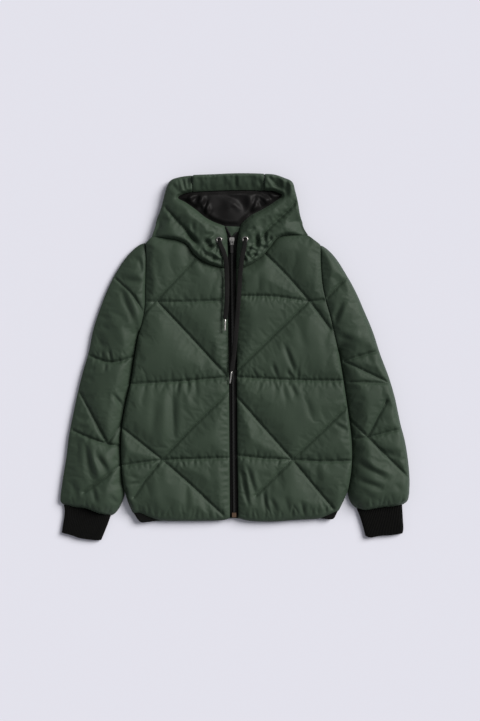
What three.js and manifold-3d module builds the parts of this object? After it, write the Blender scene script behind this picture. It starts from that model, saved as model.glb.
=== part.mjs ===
import * as THREE from "three";
import { mergeVertices } from "three/addons/utils/BufferGeometryUtils.js";
import Module from "manifold-3d";

const wasm = await Module();
wasm.setup();

// A hooded quilted jacket, adult size medium, lying on its back on a level surface.
// Millimetres. X runs to the wearer's left, Y to the hood, Z up from the surface.
// Right and left are the wearer's. The origin is the middle of the resting outline.

// Driving sizes
const GAP = 0.3;
const SEAM_INSET = GAP / 2 + 0.02;
const LAYER_TOP = 12;
const FRONT_CROWN = 34;
const SLEEVE_CROWN = 40;
const HOOD_CROWN = 40;
const QUILT_HEIGHT = 21;
const QUILT_REACH = 46;
const LINING_WALL = 1.2;
const TAPE_WALL = 1.5;
const GUARD_WALL = 1.5;
const SLIT = 1;
const MIN_WALL = 2.5;
const FOLD_FADE = 14;

// Hood, cuff and trim sizes
const HOOD_LOW = 13.8;
const HOOD_STEP = 12;
const HOOD_FILL = 18;
const HOOD_INSET = 0.6;
const HOOD_OVERLAP = 1;
const HOOD_JOIN_FROM = 316;
const HOOD_ROWS = [7.5, 10.5];
const TUNNEL_HEIGHT = 26;
const LINING_MARGIN = 7;
const LINING_FOLDS = { from: 11, to: 21 };
const SLIT_INSET = 13;
const SLIT_STEP = 60;
const CUFF_RIBS = 26;
const CUFF_ROWS = 3;
const CUFF_START = 0.008;
const CUFF_EDGE = 5;
const CUFF_TOP = 11;
const CUFF_ROUND = 0.14;
const CUFF_RIB_HEIGHT = 1.1;
const CUFF_SLIT_INSET = 0.08;
const CUFF_SLIT_PAST = 0.2;
const FACING_WALL = 1.5;
const FACING_INSET = 0.35;
const FACING_FROM = { right: -176, left: 200 };

// Zip sizes
const ZIP_ROOM = 0.5;
const ZIP_RISE = { from: 140, to: 196 };
const TAPE_END = 292;
const TAPE_STEPS = 36;
const GUARD_STEPS = 6;
const SLIDER = { x: -7.4, y: 278, width: 12, length: 18, height: 5, neck: 8 };
const ARCH = { width: 2.6, length: 7, axis: 2.4, bore: 1.3, sunk: 0.5 };
const TAB = { width: 6.4, length: 29, round: 2, wall: 1.4, slot: 3.4, slotLength: 9, bar: 0.9, droop: 0.09 };
const BOTTOM_BOX = { x: -2, y: -378, width: 10, length: 11, height: 5 };

// Eyelets sit on level lands of the hood, and the drawcord's free ends leave them
const EYELET = { inner: 4, outer: 7.5, height: 1.6, crown: 1 };
const EYELET_RIGHT = { x: -38, y: 280, z: 33, radius: 9 };
const EYELET_LEFT = { x: 24, y: 281, z: 33, radius: 9 };
const CORD = { width: 11, height: 2.8, step: 14, tip: 2.4 };

// Spacing of the modelled points
const OUTLINE_STEP = 19;
const LINE_STEP = 16;
const LINE_SIDE = 10;
const FILL_STEP = 27;
const RIM_ROWS = [7, 18];
const NO_FILL = 1e4;
const SHAKE = 0.35;

// How near modelled points may come to each other and to the outline, as shares of
// the step, side, row or fill that they belong to
const SHARE = { line: 0.45, side: 0.8, edge: 0.5, fold: 1.6, row: 0.85, rim: 0.8, fill: 0.62, border: 0.4 };
const LAND_POINTS = { count: 8, spacing: 3, room: 2 };

// A panel with no quilting, folds or level lands of its own
const PLAIN = {
  quilting: [],
  folds: [],
  lands: [],
  rows: RIM_ROWS,
  quiltHeight: QUILT_HEIGHT,
  lineStep: LINE_STEP,
  fillStep: FILL_STEP,
};

// Rows of numbers under named columns
function table(columns, rows) {
  const names = columns.split(" ");
  return rows.map((row) => Object.fromEntries(names.map((name, i) => [name, row[i]])));
}

// Height of the outer side at each kind of edge, how far the padding takes to reach
// its full height, and how far the edge stands off the surface below
const EDGES = Object.fromEntries(table("kind top reach under", [
  ["seam", 21, 30, 0],
  ["side", 15, 46, 9],
  ["hem", 18, 24, 3],
  ["zip", 18, 42, 0],
  ["neck", 20, 26, 0],
  ["panel", 27, 16, 0],
  ["mouth", 30, 18, 0],
  ["fold", 17, 34, 9],
  ["cuff", 14, 34, 0],
]).map((row) => [row.kind, row]));

// Outlines, seen from above
const ARMHOLE_RIGHT = table("x y", [[-214, 274], [-213, 238], [-214, 197], [-215, 164], [-217, 111],
  [-230, 56]]);
const SIDE_RIGHT = table("x y", [[-230, 56], [-240, -4], [-249, -62], [-259, -103], [-270, -170],
  [-272, -215], [-270, -273], [-265, -316]]);
const FRONT_CORNER_RIGHT = table("x y", [[-265, -316], [-255, -348], [-244, -373]]);
const BACK_CORNER_RIGHT = table("x y", [[-265, -316], [-255, -348], [-241, -377], [-233, -390],
  [-226, -396]]);
const FRONT_HEM_RIGHT = table("x y", [[-244, -373], [-228, -372], [-211, -380], [-192, -387], [-175, -391],
  [-120, -392], [-48, -391], [-24, -389], [-12, -385]]);
const BACK_HEM_RIGHT = table("x y", [[-226, -396], [-204, -395], [-175, -394], [-120, -393], [-48, -391],
  [-2, -387]]);
const ZIP_RIGHT = table("x y", [[-12, -385], [-13, -247], [-14, -103], [-16, 41], [-17, 137], [-17, 214]]);
const NECK_RIGHT = table("x y", [[-17, 214], [-41, 218], [-77, 232], [-98, 248], [-115, 271], [-132, 280],
  [-168, 287], [-200, 289]]);
const SHOULDER_RIGHT = table("x y", [[-200, 289], [-214, 274]]);

const ARMHOLE_LEFT = table("x y", [[205, 269], [206, 221], [210, 173], [218, 135], [230, 92], [247, 15]]);
const SIDE_LEFT = table("x y", [[247, 15], [258, -50], [270, -131], [279, -208], [278, -268], [270, -319]]);
const FRONT_CORNER_LEFT = table("x y", [[270, -319], [259, -344], [248, -367]]);
const BACK_CORNER_LEFT = table("x y", [[270, -319], [255, -351], [244, -375], [236, -388]]);
const FRONT_HEM_LEFT = table("x y", [[248, -367], [240, -370], [218, -380], [202, -386], [173, -388],
  [137, -390], [101, -393], [50, -393], [26, -390], [8, -385]]);
const BACK_HEM_LEFT = table("x y", [[236, -388], [204, -388], [156, -390], [101, -393], [50, -393],
  [-2, -387]]);
const ZIP_LEFT = table("x y", [[8, -385], [6, -247], [5, -103], [4, 41], [3, 137], [3, 214]]);
const NECK_LEFT = table("x y", [[3, 214], [19, 216], [41, 226], [65, 243], [84, 265], [98, 283], [115, 292],
  [144, 294], [176, 292]]);
const SHOULDER_LEFT = table("x y", [[176, 292], [205, 269]]);

const SLEEVE_OUT_RIGHT = table("x y", [[-214, 274], [-230, 268], [-257, 243], [-286, 200], [-307, 157],
  [-324, 113], [-340, 63], [-350, 13], [-365, -38], [-377, -88], [-388, -139], [-398, -191], [-404, -242],
  [-412, -290], [-418, -333]]);
const SLEEVE_CORNER_RIGHT = table("x y", [[-418, -333], [-418, -345], [-412, -354]]);
const SLEEVE_END_RIGHT = table("x y", [[-412, -354], [-384, -360], [-358, -363], [-329, -374], [-298, -380]]);
const SLEEVE_IN_RIGHT = table("x y", [[-298, -380], [-289, -376], [-278, -362], [-271, -347], [-266, -333],
  [-265, -316]]);
const SLEEVE_OUT_LEFT = table("x y", [[205, 269], [221, 258], [240, 238], [264, 201], [288, 158], [307, 115],
  [329, 63], [348, 5], [367, -45], [382, -95], [396, -160], [407, -203], [415, -254], [418, -297],
  [417, -328]]);
const SLEEVE_CORNER_LEFT = table("x y", [[417, -328], [413, -344], [402, -353]]);
const SLEEVE_END_LEFT = table("x y", [[402, -353], [385, -357], [355, -360], [331, -364], [314, -367],
  [292, -363]]);
const SLEEVE_IN_LEFT = table("x y", [[292, -363], [282, -355], [276, -345], [272, -333], [270, -319]]);

const CUFF_HEM_RIGHT = table("x y", [[-417, -421], [-391, -428], [-374, -434], [-336, -439], [-321, -439]]);
const CUFF_OUT_RIGHT = table("x y", [[-412, -354], [-410, -372], [-417, -421]]);
const CUFF_IN_RIGHT = table("x y", [[-298, -380], [-307, -405], [-321, -439]]);
const CUFF_HEM_LEFT = table("x y", [[313, -429], [326, -433], [346, -429], [376, -427], [403, -423]]);
const CUFF_IN_LEFT = table("x y", [[292, -363], [301, -386], [309, -413], [313, -429]]);
const CUFF_OUT_LEFT = table("x y", [[402, -353], [404, -388], [405, -414], [403, -423]]);

const HOOD_OUT_RIGHT = table("x y", [[-102, 435], [-132, 431], [-154, 423], [-164, 404], [-169, 385],
  [-176, 358], [-185, 334], [-190, 318]]);
const HOOD_FLAP_RIGHT = table("x y", [[-190, 318], [-194, 305], [-200, 289]]);
const HOOD_OUT_LEFT = table("x y", [[161, 322], [155, 339], [149, 373], [143, 397], [136, 419], [118, 428],
  [94, 436], [70, 438]]);
const HOOD_FLAP_LEFT = table("x y", [[176, 292], [166, 308], [161, 322]]);
const HOOD_TOP = table("x y", [[70, 438], [41, 439], [0, 439], [-48, 437], [-102, 435]]);
const MOUTH_RIGHT = table("x y", [[-25, 314], [-50, 323], [-72, 335], [-94, 353], [-118, 370], [-138, 382],
  [-127, 391], [-102, 397]]);
const MOUTH_TOP = table("x y", [[-102, 397], [-67, 399], [-12, 401], [36, 401], [70, 400]]);
const MOUTH_LEFT = table("x y", [[70, 400], [96, 398], [114, 388], [94, 371], [65, 353], [38, 339], [18, 321],
  [12, 313]]);
const HOOD_ZIP_RIGHT = table("x y", [[-17, 214], [-17, 257], [-19, 291], [-25, 314]]);
const HOOD_ZIP_LEFT = table("x y", [[12, 313], [7, 286], [4, 257], [3, 214]]);
const HOOD_SEAM_RIGHT = { x: -102, rim: 397, top: 435 };
const HOOD_SEAM_LEFT = { x: 70, rim: 400, top: 438 };
const NECK_END = { right: -198, left: 176 };
const BACK_NECK = { top: 304, drop: 16, reach: 190 };

// Stitched quilting lines of each panel
const QUILT_FRONT_RIGHT = table("x1 y1 x2 y2", [
  [-213, 134, -16, 137],
  [-248, -64, -14, -47],
  [-271, -259, -13, -241],
  [-98, 231, -218, 104],
  [-185, 133, -14, -52],
  [-14, -83, -175, -245],
  [-269, -170, -175, -245],
  [-175, -245, -31, -376],
  [-175, -245, -242, -335],
]);
const QUILT_FRONT_LEFT = table("x1 y1 x2 y2", [
  [4, 147, 212, 135],
  [4, -47, 259, -56],
  [5, -235, 278, -248],
  [65, 255, 178, 135],
  [178, 135, 228, 68],
  [178, 135, 2, -35],
  [5, -95, 137, -245],
  [266, -122, 137, -245],
  [137, -245, 235, -362],
  [137, -245, 50, -331],
]);
const QUILT_SLEEVE_RIGHT = table("x1 y1 x2 y2", [
  [-286, 188, -218, 106],
  [-348, 4, -305, -11],
  [-305, -11, -238, -13],
  [-372, -86, -305, -208],
  [-389, -175, -305, -208],
  [-305, -208, -271, -213],
  [-305, -208, -262, -140],
  [-271, -254, -362, -323],
]);
const QUILT_SLEEVE_LEFT = table("x1 y1 x2 y2", [
  [274, 195, 221, 142],
  [259, -3, 348, 14],
  [262, -8, 365, -59],
  [276, -59, 367, -58],
  [362, -105, 317, -191],
  [288, -194, 406, -170],
  [317, -191, 274, -146],
  [317, -191, 415, -290],
]);
const TUNNEL_RIGHT = table("x1 y1 x2 y2", [
  [-166, 358, -139, 327],
  [-139, 327, -118, 305],
  [-118, 305, -94, 278],
]);
const TUNNEL_LEFT = table("x1 y1 x2 y2", [
  [146, 373, 127, 351],
  [127, 351, 84, 311],
  [84, 311, 62, 284],
  [62, 284, 50, 272],
]);

// The largest folds: ridges where the height is above zero, troughs where it is below
const FOLDS_FRONT_RIGHT = table("x1 y1 x2 y2 width height", [
  [-168, -74, -173, -218, 11, 3],
  [-144, -67, -151, -199, 9, -3],
  [-118, -60, -112, -120, 8, 2.5],
  [-40, 205, -60, 150, 9, -2.5],
  [-200, 262, -196, 150, 10, 2.5],
]);
const FOLDS_FRONT_LEFT = table("x1 y1 x2 y2 width height", [
  [86, 29, 101, -35, 8, 3],
  [132, 17, 146, -35, 8, 3],
  [7, -254, 31, -343, 8, -3],
  [48, -295, 65, -358, 8, 3],
  [60, 205, 50, 150, 9, -2.5],
  [196, 250, 192, 160, 10, 2.5],
]);
const FOLDS_SLEEVE_RIGHT = table("x1 y1 x2 y2 width height", [
  [-274, 169, -233, 60, 10, -5],
  [-276, 183, -222, 177, 9, -4],
  [-360, -199, -341, -295, 10, -5],
  [-331, -235, -305, -283, 10, -4],
  [-300, 110, -262, 30, 12, 3],
]);
const FOLDS_SLEEVE_LEFT = table("x1 y1 x2 y2 width height", [
  [254, 133, 235, 70, 9, -6],
  [298, -249, 358, -287, 10, -5],
  [300, -295, 336, -319, 9, -4],
  [300, 60, 262, 30, 12, 3],
]);
const FOLDS_HOOD_RIGHT = table("x1 y1 x2 y2 width height", [
  [-74, 262, -54, 286, 5, -8],
  [-92, 268, -70, 302, 6, 3],
  [-50, 228, -62, 250, 6, -4],
  [-128, 426, -120, 392, 5, -6],
  [-113, 430, -110, 400, 5, -5],
  [-142, 412, -134, 396, 5, -4],
]);
const FOLDS_HOOD_LEFT = table("x1 y1 x2 y2 width height", [
  [42, 288, 48, 232, 5, -9],
  [54, 268, 76, 262, 5, -6],
  [30, 262, 34, 230, 5, -4],
  [82, 432, 90, 402, 5, -7],
  [96, 430, 106, 396, 5, -6],
  [112, 424, 120, 398, 5, -5],
]);
const FOLDS_LINING = table("x1 y1 x2 y2 width height", [
  [-70, 350, -62, 392, 11, 7],
  [-20, 326, -10, 380, 13, 8],
  [40, 350, 30, 396, 11, 8],
  [70, 366, 84, 388, 9, 6],
]);

// Edges of the slit inside each sleeve, run past both of its ends
const SLIT_OUT_RIGHT = table("x y", [[-205, 282], [-214, 274], [-257, 243], [-307, 157], [-340, 63],
  [-365, -38], [-388, -139], [-404, -242], [-415, -310], [-412, -380]]);
const SLIT_IN_RIGHT = table("x y", [[-297, -400], [-290, -370], [-273, -330], [-272, -215], [-259, -103],
  [-240, -4], [-228, 56], [-205, 100]]);
const SLIT_IN_LEFT = table("x y", [[208, 62], [247, 15], [270, -131], [279, -208], [276, -300], [290, -360],
  [293, -390]]);
const SLIT_OUT_LEFT = table("x y", [[403, -380], [413, -330], [415, -254], [396, -160], [367, -45], [329, 63],
  [288, 158], [240, 238], [195, 275]]);

// Where the facing of the back's hem shows below the fronts
const FACING_BACK_RIGHT = table("x y", [[-241, -377], [-233, -390], [-226, -396], [-204, -395]]);
const FACING_BACK_LEFT = table("x y", [[214, -388], [236, -388], [244, -375]]);

// Zip chain, and the two sides where it is open above the slider
const CHAIN = table("x y", [[-2, -385], [-3.5, -247], [-4.5, -103], [-6, 41], [-7, 137], [-7.3, 214],
  [-7.4, 262], [-7.4, 277], [-7.4, 283], [-7.4, 286]]);
const CHAIN_OPEN_RIGHT = { x: -16, y: 300 };
const CHAIN_OPEN_LEFT = { x: 3, y: 300 };
const TAPE_TOP_RIGHT = { x: -21, y: 300 };
const TAPE_TOP_LEFT = { x: 9, y: 300 };

// Routes of the drawcord's free ends, from the eyelets down
const CORD_RIGHT = table("x y z", [
  [-38, 280, 37],
  [-35, 269, 37],
  [-28, 253, 37],
  [-22, 233, 36],
  [-20, 205, 34],
  [-19, 161, 34],
  [-20, 125, 34],
  [-23, 91, 34],
]);
const TIP_RIGHT = { x: -24, y: 62, z: 34 };
const CORD_LEFT = table("x y z", [
  [24, 281, 38.5],
  [23, 267, 38.5],
  [18, 243, 37],
  [14, 214, 34],
  [10, 161, 34],
  [6, 101, 33],
  [1, 41, 31],
  [-4, -7, 29],
  [-8, -34, 27],
]);
const TIP_LEFT = { x: -12, y: -63, z: 25 };

// A smooth curve through a table's rows
function pathThrough(rows) {
  return new THREE.CatmullRomCurve3(rows.map((row) => new THREE.Vector3(row.x, row.y, row.z ?? 0)));
}

// Points every step along such a curve
function curve(rows, step = OUTLINE_STEP) {
  const path = pathThrough(rows);
  return path.getSpacedPoints(Math.max(1, Math.round(path.getLength() / step)));
}

// A set number of even steps along such a curve
function run(rows, count) {
  return pathThrough(rows).getSpacedPoints(count);
}

// The back's neck edge is a shallow arch
function neckPoints(from, to) {
  const count = Math.max(1, Math.round(Math.abs(to - from) / OUTLINE_STEP));
  const points = [];
  for (let i = 0; i <= count; i += 1) {
    const x = from + ((to - from) * i) / count;
    const y = BACK_NECK.top - BACK_NECK.drop * (Math.abs(x) / BACK_NECK.reach) ** 3;
    points.push(new THREE.Vector3(x, y, 0));
  }
  return points;
}

// One stretch of an outline and the kind of edge that it is
function stretch(kind, points, backwards = false) {
  return { kind, points: backwards ? [...points].reverse() : points };
}

// Where a point lies beside a straight line: how far along it, and how far from it
function segmentPlace(point, a, b) {
  const dx = b.x - a.x;
  const dy = b.y - a.y;
  const along = ((point.x - a.x) * dx + (point.y - a.y) * dy) / (dx * dx + dy * dy);
  const t = Math.min(1, Math.max(0, along));
  return { along: t, distance: Math.hypot(point.x - a.x - t * dx, point.y - a.y - t * dy) };
}

// Moves a loop's points inwards, so that neighbours stay apart
function shrink(points, distance) {
  return points.map((point, i) => {
    const before = points.at(i - 1);
    const after = points[(i + 1) % points.length];
    const first = new THREE.Vector3(before.y - point.y, point.x - before.x, 0).normalize();
    const second = new THREE.Vector3(point.y - after.y, after.x - point.x, 0).normalize();
    const middle = first.clone().add(second).normalize();
    const reach = distance / Math.max(0.4, middle.dot(first));
    return point.clone().addScaledVector(middle, reach);
  });
}

// Joins stretches, anticlockwise from above, into one outline
function outlineOf(stretches, inset = SEAM_INSET) {
  const points = [];
  const kinds = [];
  for (const part of stretches) {
    for (const point of part.points.slice(0, -1)) {
      points.push(point);
      kinds.push(part.kind);
    }
  }
  return { points: shrink(points, inset), kinds };
}

function isInside(points, x, y) {
  let inside = false;
  points.forEach((a, i) => {
    const b = points.at(i - 1);
    if (a.y > y !== b.y > y && x < ((b.x - a.x) * (y - a.y)) / (b.y - a.y) + a.x) {
      inside = !inside;
    }
  });
  return inside;
}

// The distance from a point to the nearest edge of each kind
function edgeDistances(outline, point) {
  const near = {};
  outline.points.forEach((a, i) => {
    const b = outline.points[(i + 1) % outline.points.length];
    const { distance } = segmentPlace(point, a, b);
    near[outline.kinds[i]] = Math.min(near[outline.kinds[i]] ?? Infinity, distance);
  });
  return near;
}

// Padding rises from a stitched line like a pillow
function dome(low, high, distance, reach) {
  const t = Math.min(distance / reach, 1);
  return low + (high - low) * Math.sqrt(1 - (1 - t) ** 2);
}

function smoothStep(low, high, value) {
  return THREE.MathUtils.smoothstep(value, low, high);
}

const startOf = (row) => ({ x: row.x1, y: row.y1 });
const endOf = (row) => ({ x: row.x2, y: row.y2 });

function foldHeight(fold, point) {
  const { along, distance } = segmentPlace(point, startOf(fold), endOf(fold));
  const taper = Math.sqrt(Math.sin(Math.PI * Math.min(0.98, Math.max(0.02, along))));
  return fold.height * taper * Math.exp(-((distance / fold.width) ** 2));
}

// Height of a padded panel's outer side
function paddedTop(shape, point) {
  const near = edgeDistances(shape.outline, point);
  const border = Math.min(...Object.values(near));
  let height = shape.crown;
  for (const [kind, distance] of Object.entries(near)) {
    height = Math.min(height, dome(EDGES[kind].top, shape.crown, distance, EDGES[kind].reach));
  }
  for (const line of shape.quilting) {
    const { distance } = segmentPlace(point, startOf(line), endOf(line));
    height = Math.min(height, dome(shape.quiltHeight, shape.crown, distance, QUILT_REACH));
  }
  for (const fold of shape.folds) {
    height += foldHeight(fold, point) * Math.min(1, border / FOLD_FADE);
  }
  for (const land of shape.lands) {
    const away = Math.hypot(point.x - land.x, point.y - land.y);
    height = THREE.MathUtils.lerp(land.z, height, smoothStep(land.radius, land.radius * 2, away));
  }
  return Math.max(height, shape.low(point) + MIN_WALL);
}

// Underside of a piece that lies on the surface: flat, rounding up to its edges
function restingLow(outline) {
  return (point) => {
    const near = edgeDistances(outline, point);
    let height = 0;
    for (const [kind, distance] of Object.entries(near)) {
      const { under } = EDGES[kind];
      height = Math.max(height, under - dome(0, under, distance, RIM_ROWS[1]));
    }
    return height;
  };
}

// Delaunay triangles over scattered points, adding one point at a time
function triangulate(points) {
  const far = 1e5;
  const all = [...points, { x: -far, y: -far }, { x: far, y: -far }, { x: 0, y: far }];
  const withCircle = (a, b, c) => {
    const [p, q, r] = [all[a], all[b], all[c]];
    const twice = 2 * (p.x * (q.y - r.y) + q.x * (r.y - p.y) + r.x * (p.y - q.y));
    const [pp, qq, rr] = [p, q, r].map((v) => v.x * v.x + v.y * v.y);
    const x = (pp * (q.y - r.y) + qq * (r.y - p.y) + rr * (p.y - q.y)) / twice;
    const y = (pp * (r.x - q.x) + qq * (p.x - r.x) + rr * (q.x - p.x)) / twice;
    const corners = twice > 0 ? [a, b, c] : [a, c, b];
    return { corners, x, y, area: Math.abs(twice) / 4, radius: Math.hypot(p.x - x, p.y - y) };
  };
  const count = points.length;
  let triangles = [withCircle(count, count + 1, count + 2)];
  points.forEach((point, index) => {
    const edges = new Map();
    const kept = [];
    for (const triangle of triangles) {
      if (Math.hypot(point.x - triangle.x, point.y - triangle.y) >= triangle.radius) {
        kept.push(triangle);
        continue;
      }
      triangle.corners.forEach((from, i) => {
        const to = triangle.corners[(i + 1) % 3];
        if (!edges.delete(`${to} ${from}`)) {
          edges.set(`${from} ${to}`, [from, to]);
        }
      });
    }
    triangles = [...kept, ...[...edges.values()].map(([from, to]) => withCircle(from, to, index))];
  });
  return triangles.filter(({ corners }) => Math.max(...corners) < count);
}

// Triangles inside an outline whose points come first in the list
function fillOutline(name, outline, points) {
  const loop = outline.points;
  const kept = triangulate(points).filter(({ corners, area }) => {
    const [a, b, c] = corners.map((corner) => points[corner]);
    return area > 0.01 && isInside(loop, (a.x + b.x + c.x) / 3, (a.y + b.y + c.y) / 3);
  });
  const triangles = kept.map(({ corners }) => corners);
  const edges = new Set(triangles.flatMap(([a, b, c]) => [`${a} ${b}`, `${b} ${c}`, `${c} ${a}`]));
  loop.forEach((point, i) => {
    if (!edges.has(`${i} ${(i + 1) % loop.length}`)) {
      throw new Error(`${name}: the outline is lost at ${point.x.toFixed(0)}, ${point.y.toFixed(0)}`);
    }
  });
  return triangles;
}

// Scattered points of a padded side: on the outline, on and beside each stitched line
// and fold, in rows along the rim, and an even fill between them
function paddedPoints(shape) {
  const { outline } = shape;
  const points = [...outline.points];
  const add = (x, y, spacing, room) => {
    const shake = SHAKE * Math.sin(12.9 * x + 7.3 * y);
    const point = new THREE.Vector3(x + shake, y - shake, 0);
    if (!isInside(outline.points, x, y)) {
      return;
    }
    if (Math.min(...Object.values(edgeDistances(outline, point))) < room) {
      return;
    }
    if (points.every((other) => Math.hypot(other.x - x, other.y - y) > spacing)) {
      points.push(point);
    }
  };
  const addRows = (rows, side, step) => {
    for (const offset of [0, side, -side]) {
      for (const row of rows) {
        const length = Math.hypot(row.x2 - row.x1, row.y2 - row.y1);
        const count = Math.max(1, Math.round(length / step));
        const [dx, dy] = [row.x2 - row.x1, row.y2 - row.y1];
        for (let i = 0; i <= count; i += 1) {
          const x = row.x1 + (dx * i) / count - (dy / length) * offset;
          const y = row.y1 + (dy * i) / count + (dx / length) * offset;
          add(x, y, offset === 0 ? step * SHARE.line : side * SHARE.side, side * SHARE.edge);
        }
      }
    }
  };
  addRows(shape.quilting, LINE_SIDE, shape.lineStep);
  for (const fold of shape.folds) {
    addRows([fold], fold.width, fold.width * SHARE.fold);
  }
  for (const land of shape.lands) {
    const { count, spacing, room } = LAND_POINTS;
    for (let i = 0; i < count; i += 1) {
      const turn = (2 * i * Math.PI) / count;
      add(land.x + land.radius * Math.cos(turn), land.y + land.radius * Math.sin(turn), spacing, room);
    }
  }
  shape.rows.forEach((distance, i) => {
    const spacing = SHARE.row * (distance - (i === 0 ? 0 : shape.rows[i - 1]));
    for (const point of shrink(outline.points, distance)) {
      add(point.x, point.y, spacing, distance * SHARE.rim);
    }
  });
  const box = new THREE.Box3().setFromPoints(outline.points);
  const rise = (shape.fillStep * Math.sqrt(3)) / 2;
  let odd = false;
  for (let y = box.min.y; y < box.max.y; y += rise) {
    for (let x = box.min.x + (odd ? shape.fillStep / 2 : 0); x < box.max.x; x += shape.fillStep) {
      add(x, y, shape.fillStep * SHARE.fill, shape.fillStep * SHARE.border);
    }
    odd = !odd;
  }
  return points;
}

// A closed solid between an upper and a lower side that share one outline
function slab(name, outline, upper, lower) {
  const vertices = [];
  for (const side of [upper, lower]) {
    for (const point of side.points) {
      vertices.push(point.x, point.y, side.height(point));
    }
  }
  const start = upper.points.length;
  const faces = upper.triangles.flat();
  for (const [a, b, c] of lower.triangles) {
    faces.push(start + a, start + c, start + b);
  }
  const count = outline.points.length;
  for (let i = 0; i < count; i += 1) {
    const next = (i + 1) % count;
    faces.push(start + i, start + next, next, start + i, next, i);
  }
  const geometry = new THREE.BufferGeometry();
  geometry.setAttribute("position", new THREE.Float32BufferAttribute(vertices, 3));
  geometry.setIndex(faces);
  geometry.name = name;
  return geometry;
}

// A flat side needs the outline's points alone
function flatSide(outline, height) {
  const triangles = THREE.ShapeUtils.triangulateShape(outline.points, []);
  return { points: outline.points, triangles, height: () => height };
}

// A side that only bends along its rim
function rimmedSide(name, outline, rows, height) {
  const points = paddedPoints({ ...PLAIN, outline, rows, fillStep: NO_FILL });
  return { points, triangles: fillOutline(name, outline, points), height };
}

function paddedSide(name, shape) {
  const points = paddedPoints(shape);
  const triangles = fillOutline(name, shape.outline, points);
  return { points, triangles, height: (point) => paddedTop(shape, point) };
}

// Solids that are joined or cut
function manifoldOf(geometry) {
  const bare = geometry.clone();
  bare.deleteAttribute("normal");
  bare.deleteAttribute("uv");
  const merged = mergeVertices(bare, 1e-4);
  return new wasm.Manifold(new wasm.Mesh({
    numProp: 3,
    vertProperties: merged.attributes.position.array,
    triVerts: new Uint32Array(merged.index.array),
  }));
}

function geometryOf(manifold) {
  const { vertProperties, triVerts } = manifold.getMesh();
  const geometry = new THREE.BufferGeometry();
  geometry.setAttribute("position", new THREE.BufferAttribute(vertProperties, 3));
  geometry.setIndex(new THREE.BufferAttribute(triVerts, 1));
  return geometry;
}

// Materials
const GREEN = new THREE.MeshStandardMaterial({ color: 0x36463c, roughness: 0.62, metalness: 0 });
const BLACK_KNIT = new THREE.MeshStandardMaterial({ color: 0x141414, roughness: 0.9, metalness: 0 });
const BLACK_TAPE = new THREE.MeshStandardMaterial({ color: 0x101010, roughness: 0.85, metalness: 0 });
const CHARCOAL = new THREE.MeshStandardMaterial({ color: 0x2a2828, roughness: 0.5, metalness: 0 });
const SILVER = new THREE.MeshStandardMaterial({ color: 0xb8b4b0, roughness: 0.3, metalness: 1 });
const BRONZE = new THREE.MeshStandardMaterial({ color: 0x6b5a48, roughness: 0.4, metalness: 1 });

const jacket = new THREE.Group();

function addPiece(name, geometry, material) {
  const mesh = new THREE.Mesh(geometry, material);
  mesh.name = name;
  jacket.add(mesh);
  return mesh;
}

// Back panel, whose plain inner side carries the fronts
function makeBack() {
  const shoulderLeft = new THREE.Vector3(ARMHOLE_LEFT[0].x, ARMHOLE_LEFT[0].y, 0);
  const shoulderRight = new THREE.Vector3(ARMHOLE_RIGHT[0].x, ARMHOLE_RIGHT[0].y, 0);
  const outline = outlineOf([
    stretch("hem", curve(BACK_HEM_LEFT), true),
    stretch("side", curve(BACK_CORNER_LEFT), true),
    stretch("side", curve(SIDE_LEFT), true),
    stretch("seam", curve(ARMHOLE_LEFT), true),
    stretch("seam", [shoulderLeft, ...neckPoints(NECK_END.left, NECK_END.right), shoulderRight]),
    stretch("seam", curve(ARMHOLE_RIGHT)),
    stretch("side", curve(SIDE_RIGHT)),
    stretch("side", curve(BACK_CORNER_RIGHT)),
    stretch("hem", curve(BACK_HEM_RIGHT)),
  ]);
  const lower = rimmedSide("back", outline, RIM_ROWS, restingLow(outline));
  addPiece("back", slab("back", outline, flatSide(outline, LAYER_TOP), lower), GREEN);
}

// A quilted front panel, lying on the back
function makeFront(name, stretches, quilting, folds) {
  const outline = outlineOf(stretches);
  const low = LAYER_TOP + GAP;
  const shape = { ...PLAIN, outline, quilting, folds, crown: FRONT_CROWN, low: () => low };
  addPiece(name, slab(name, outline, paddedSide(name, shape), flatSide(outline, low)), GREEN);
}

// A quilted sleeve, a flattened tube with a slit right through it
function makeSleeve(name, stretches, slitStretches, quilting, folds) {
  const outline = outlineOf(stretches);
  const low = restingLow(outline);
  const shape = { ...PLAIN, outline, quilting, folds, crown: SLEEVE_CROWN, low };
  const body = slab(name, outline, paddedSide(name, shape), rimmedSide(name, outline, RIM_ROWS, low));
  const slitOutline = outlineOf(slitStretches, 0);
  const [roof, floor] = [LAYER_TOP + SLIT, LAYER_TOP].map((height) => flatSide(slitOutline, height));
  const slit = slab(name, slitOutline, roof, floor);
  addPiece(name, geometryOf(manifoldOf(body).subtract(manifoldOf(slit))), GREEN);
}

// Moves a run of points sideways, to the left of its own direction
function besideRun(points, distance) {
  return points.map((point, i) => {
    const before = points[Math.max(0, i - 1)];
    const after = points[Math.min(points.length - 1, i + 1)];
    const across = new THREE.Vector3(before.y - after.y, after.x - before.x, 0).normalize();
    return point.clone().addScaledVector(across, distance);
  });
}

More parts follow.
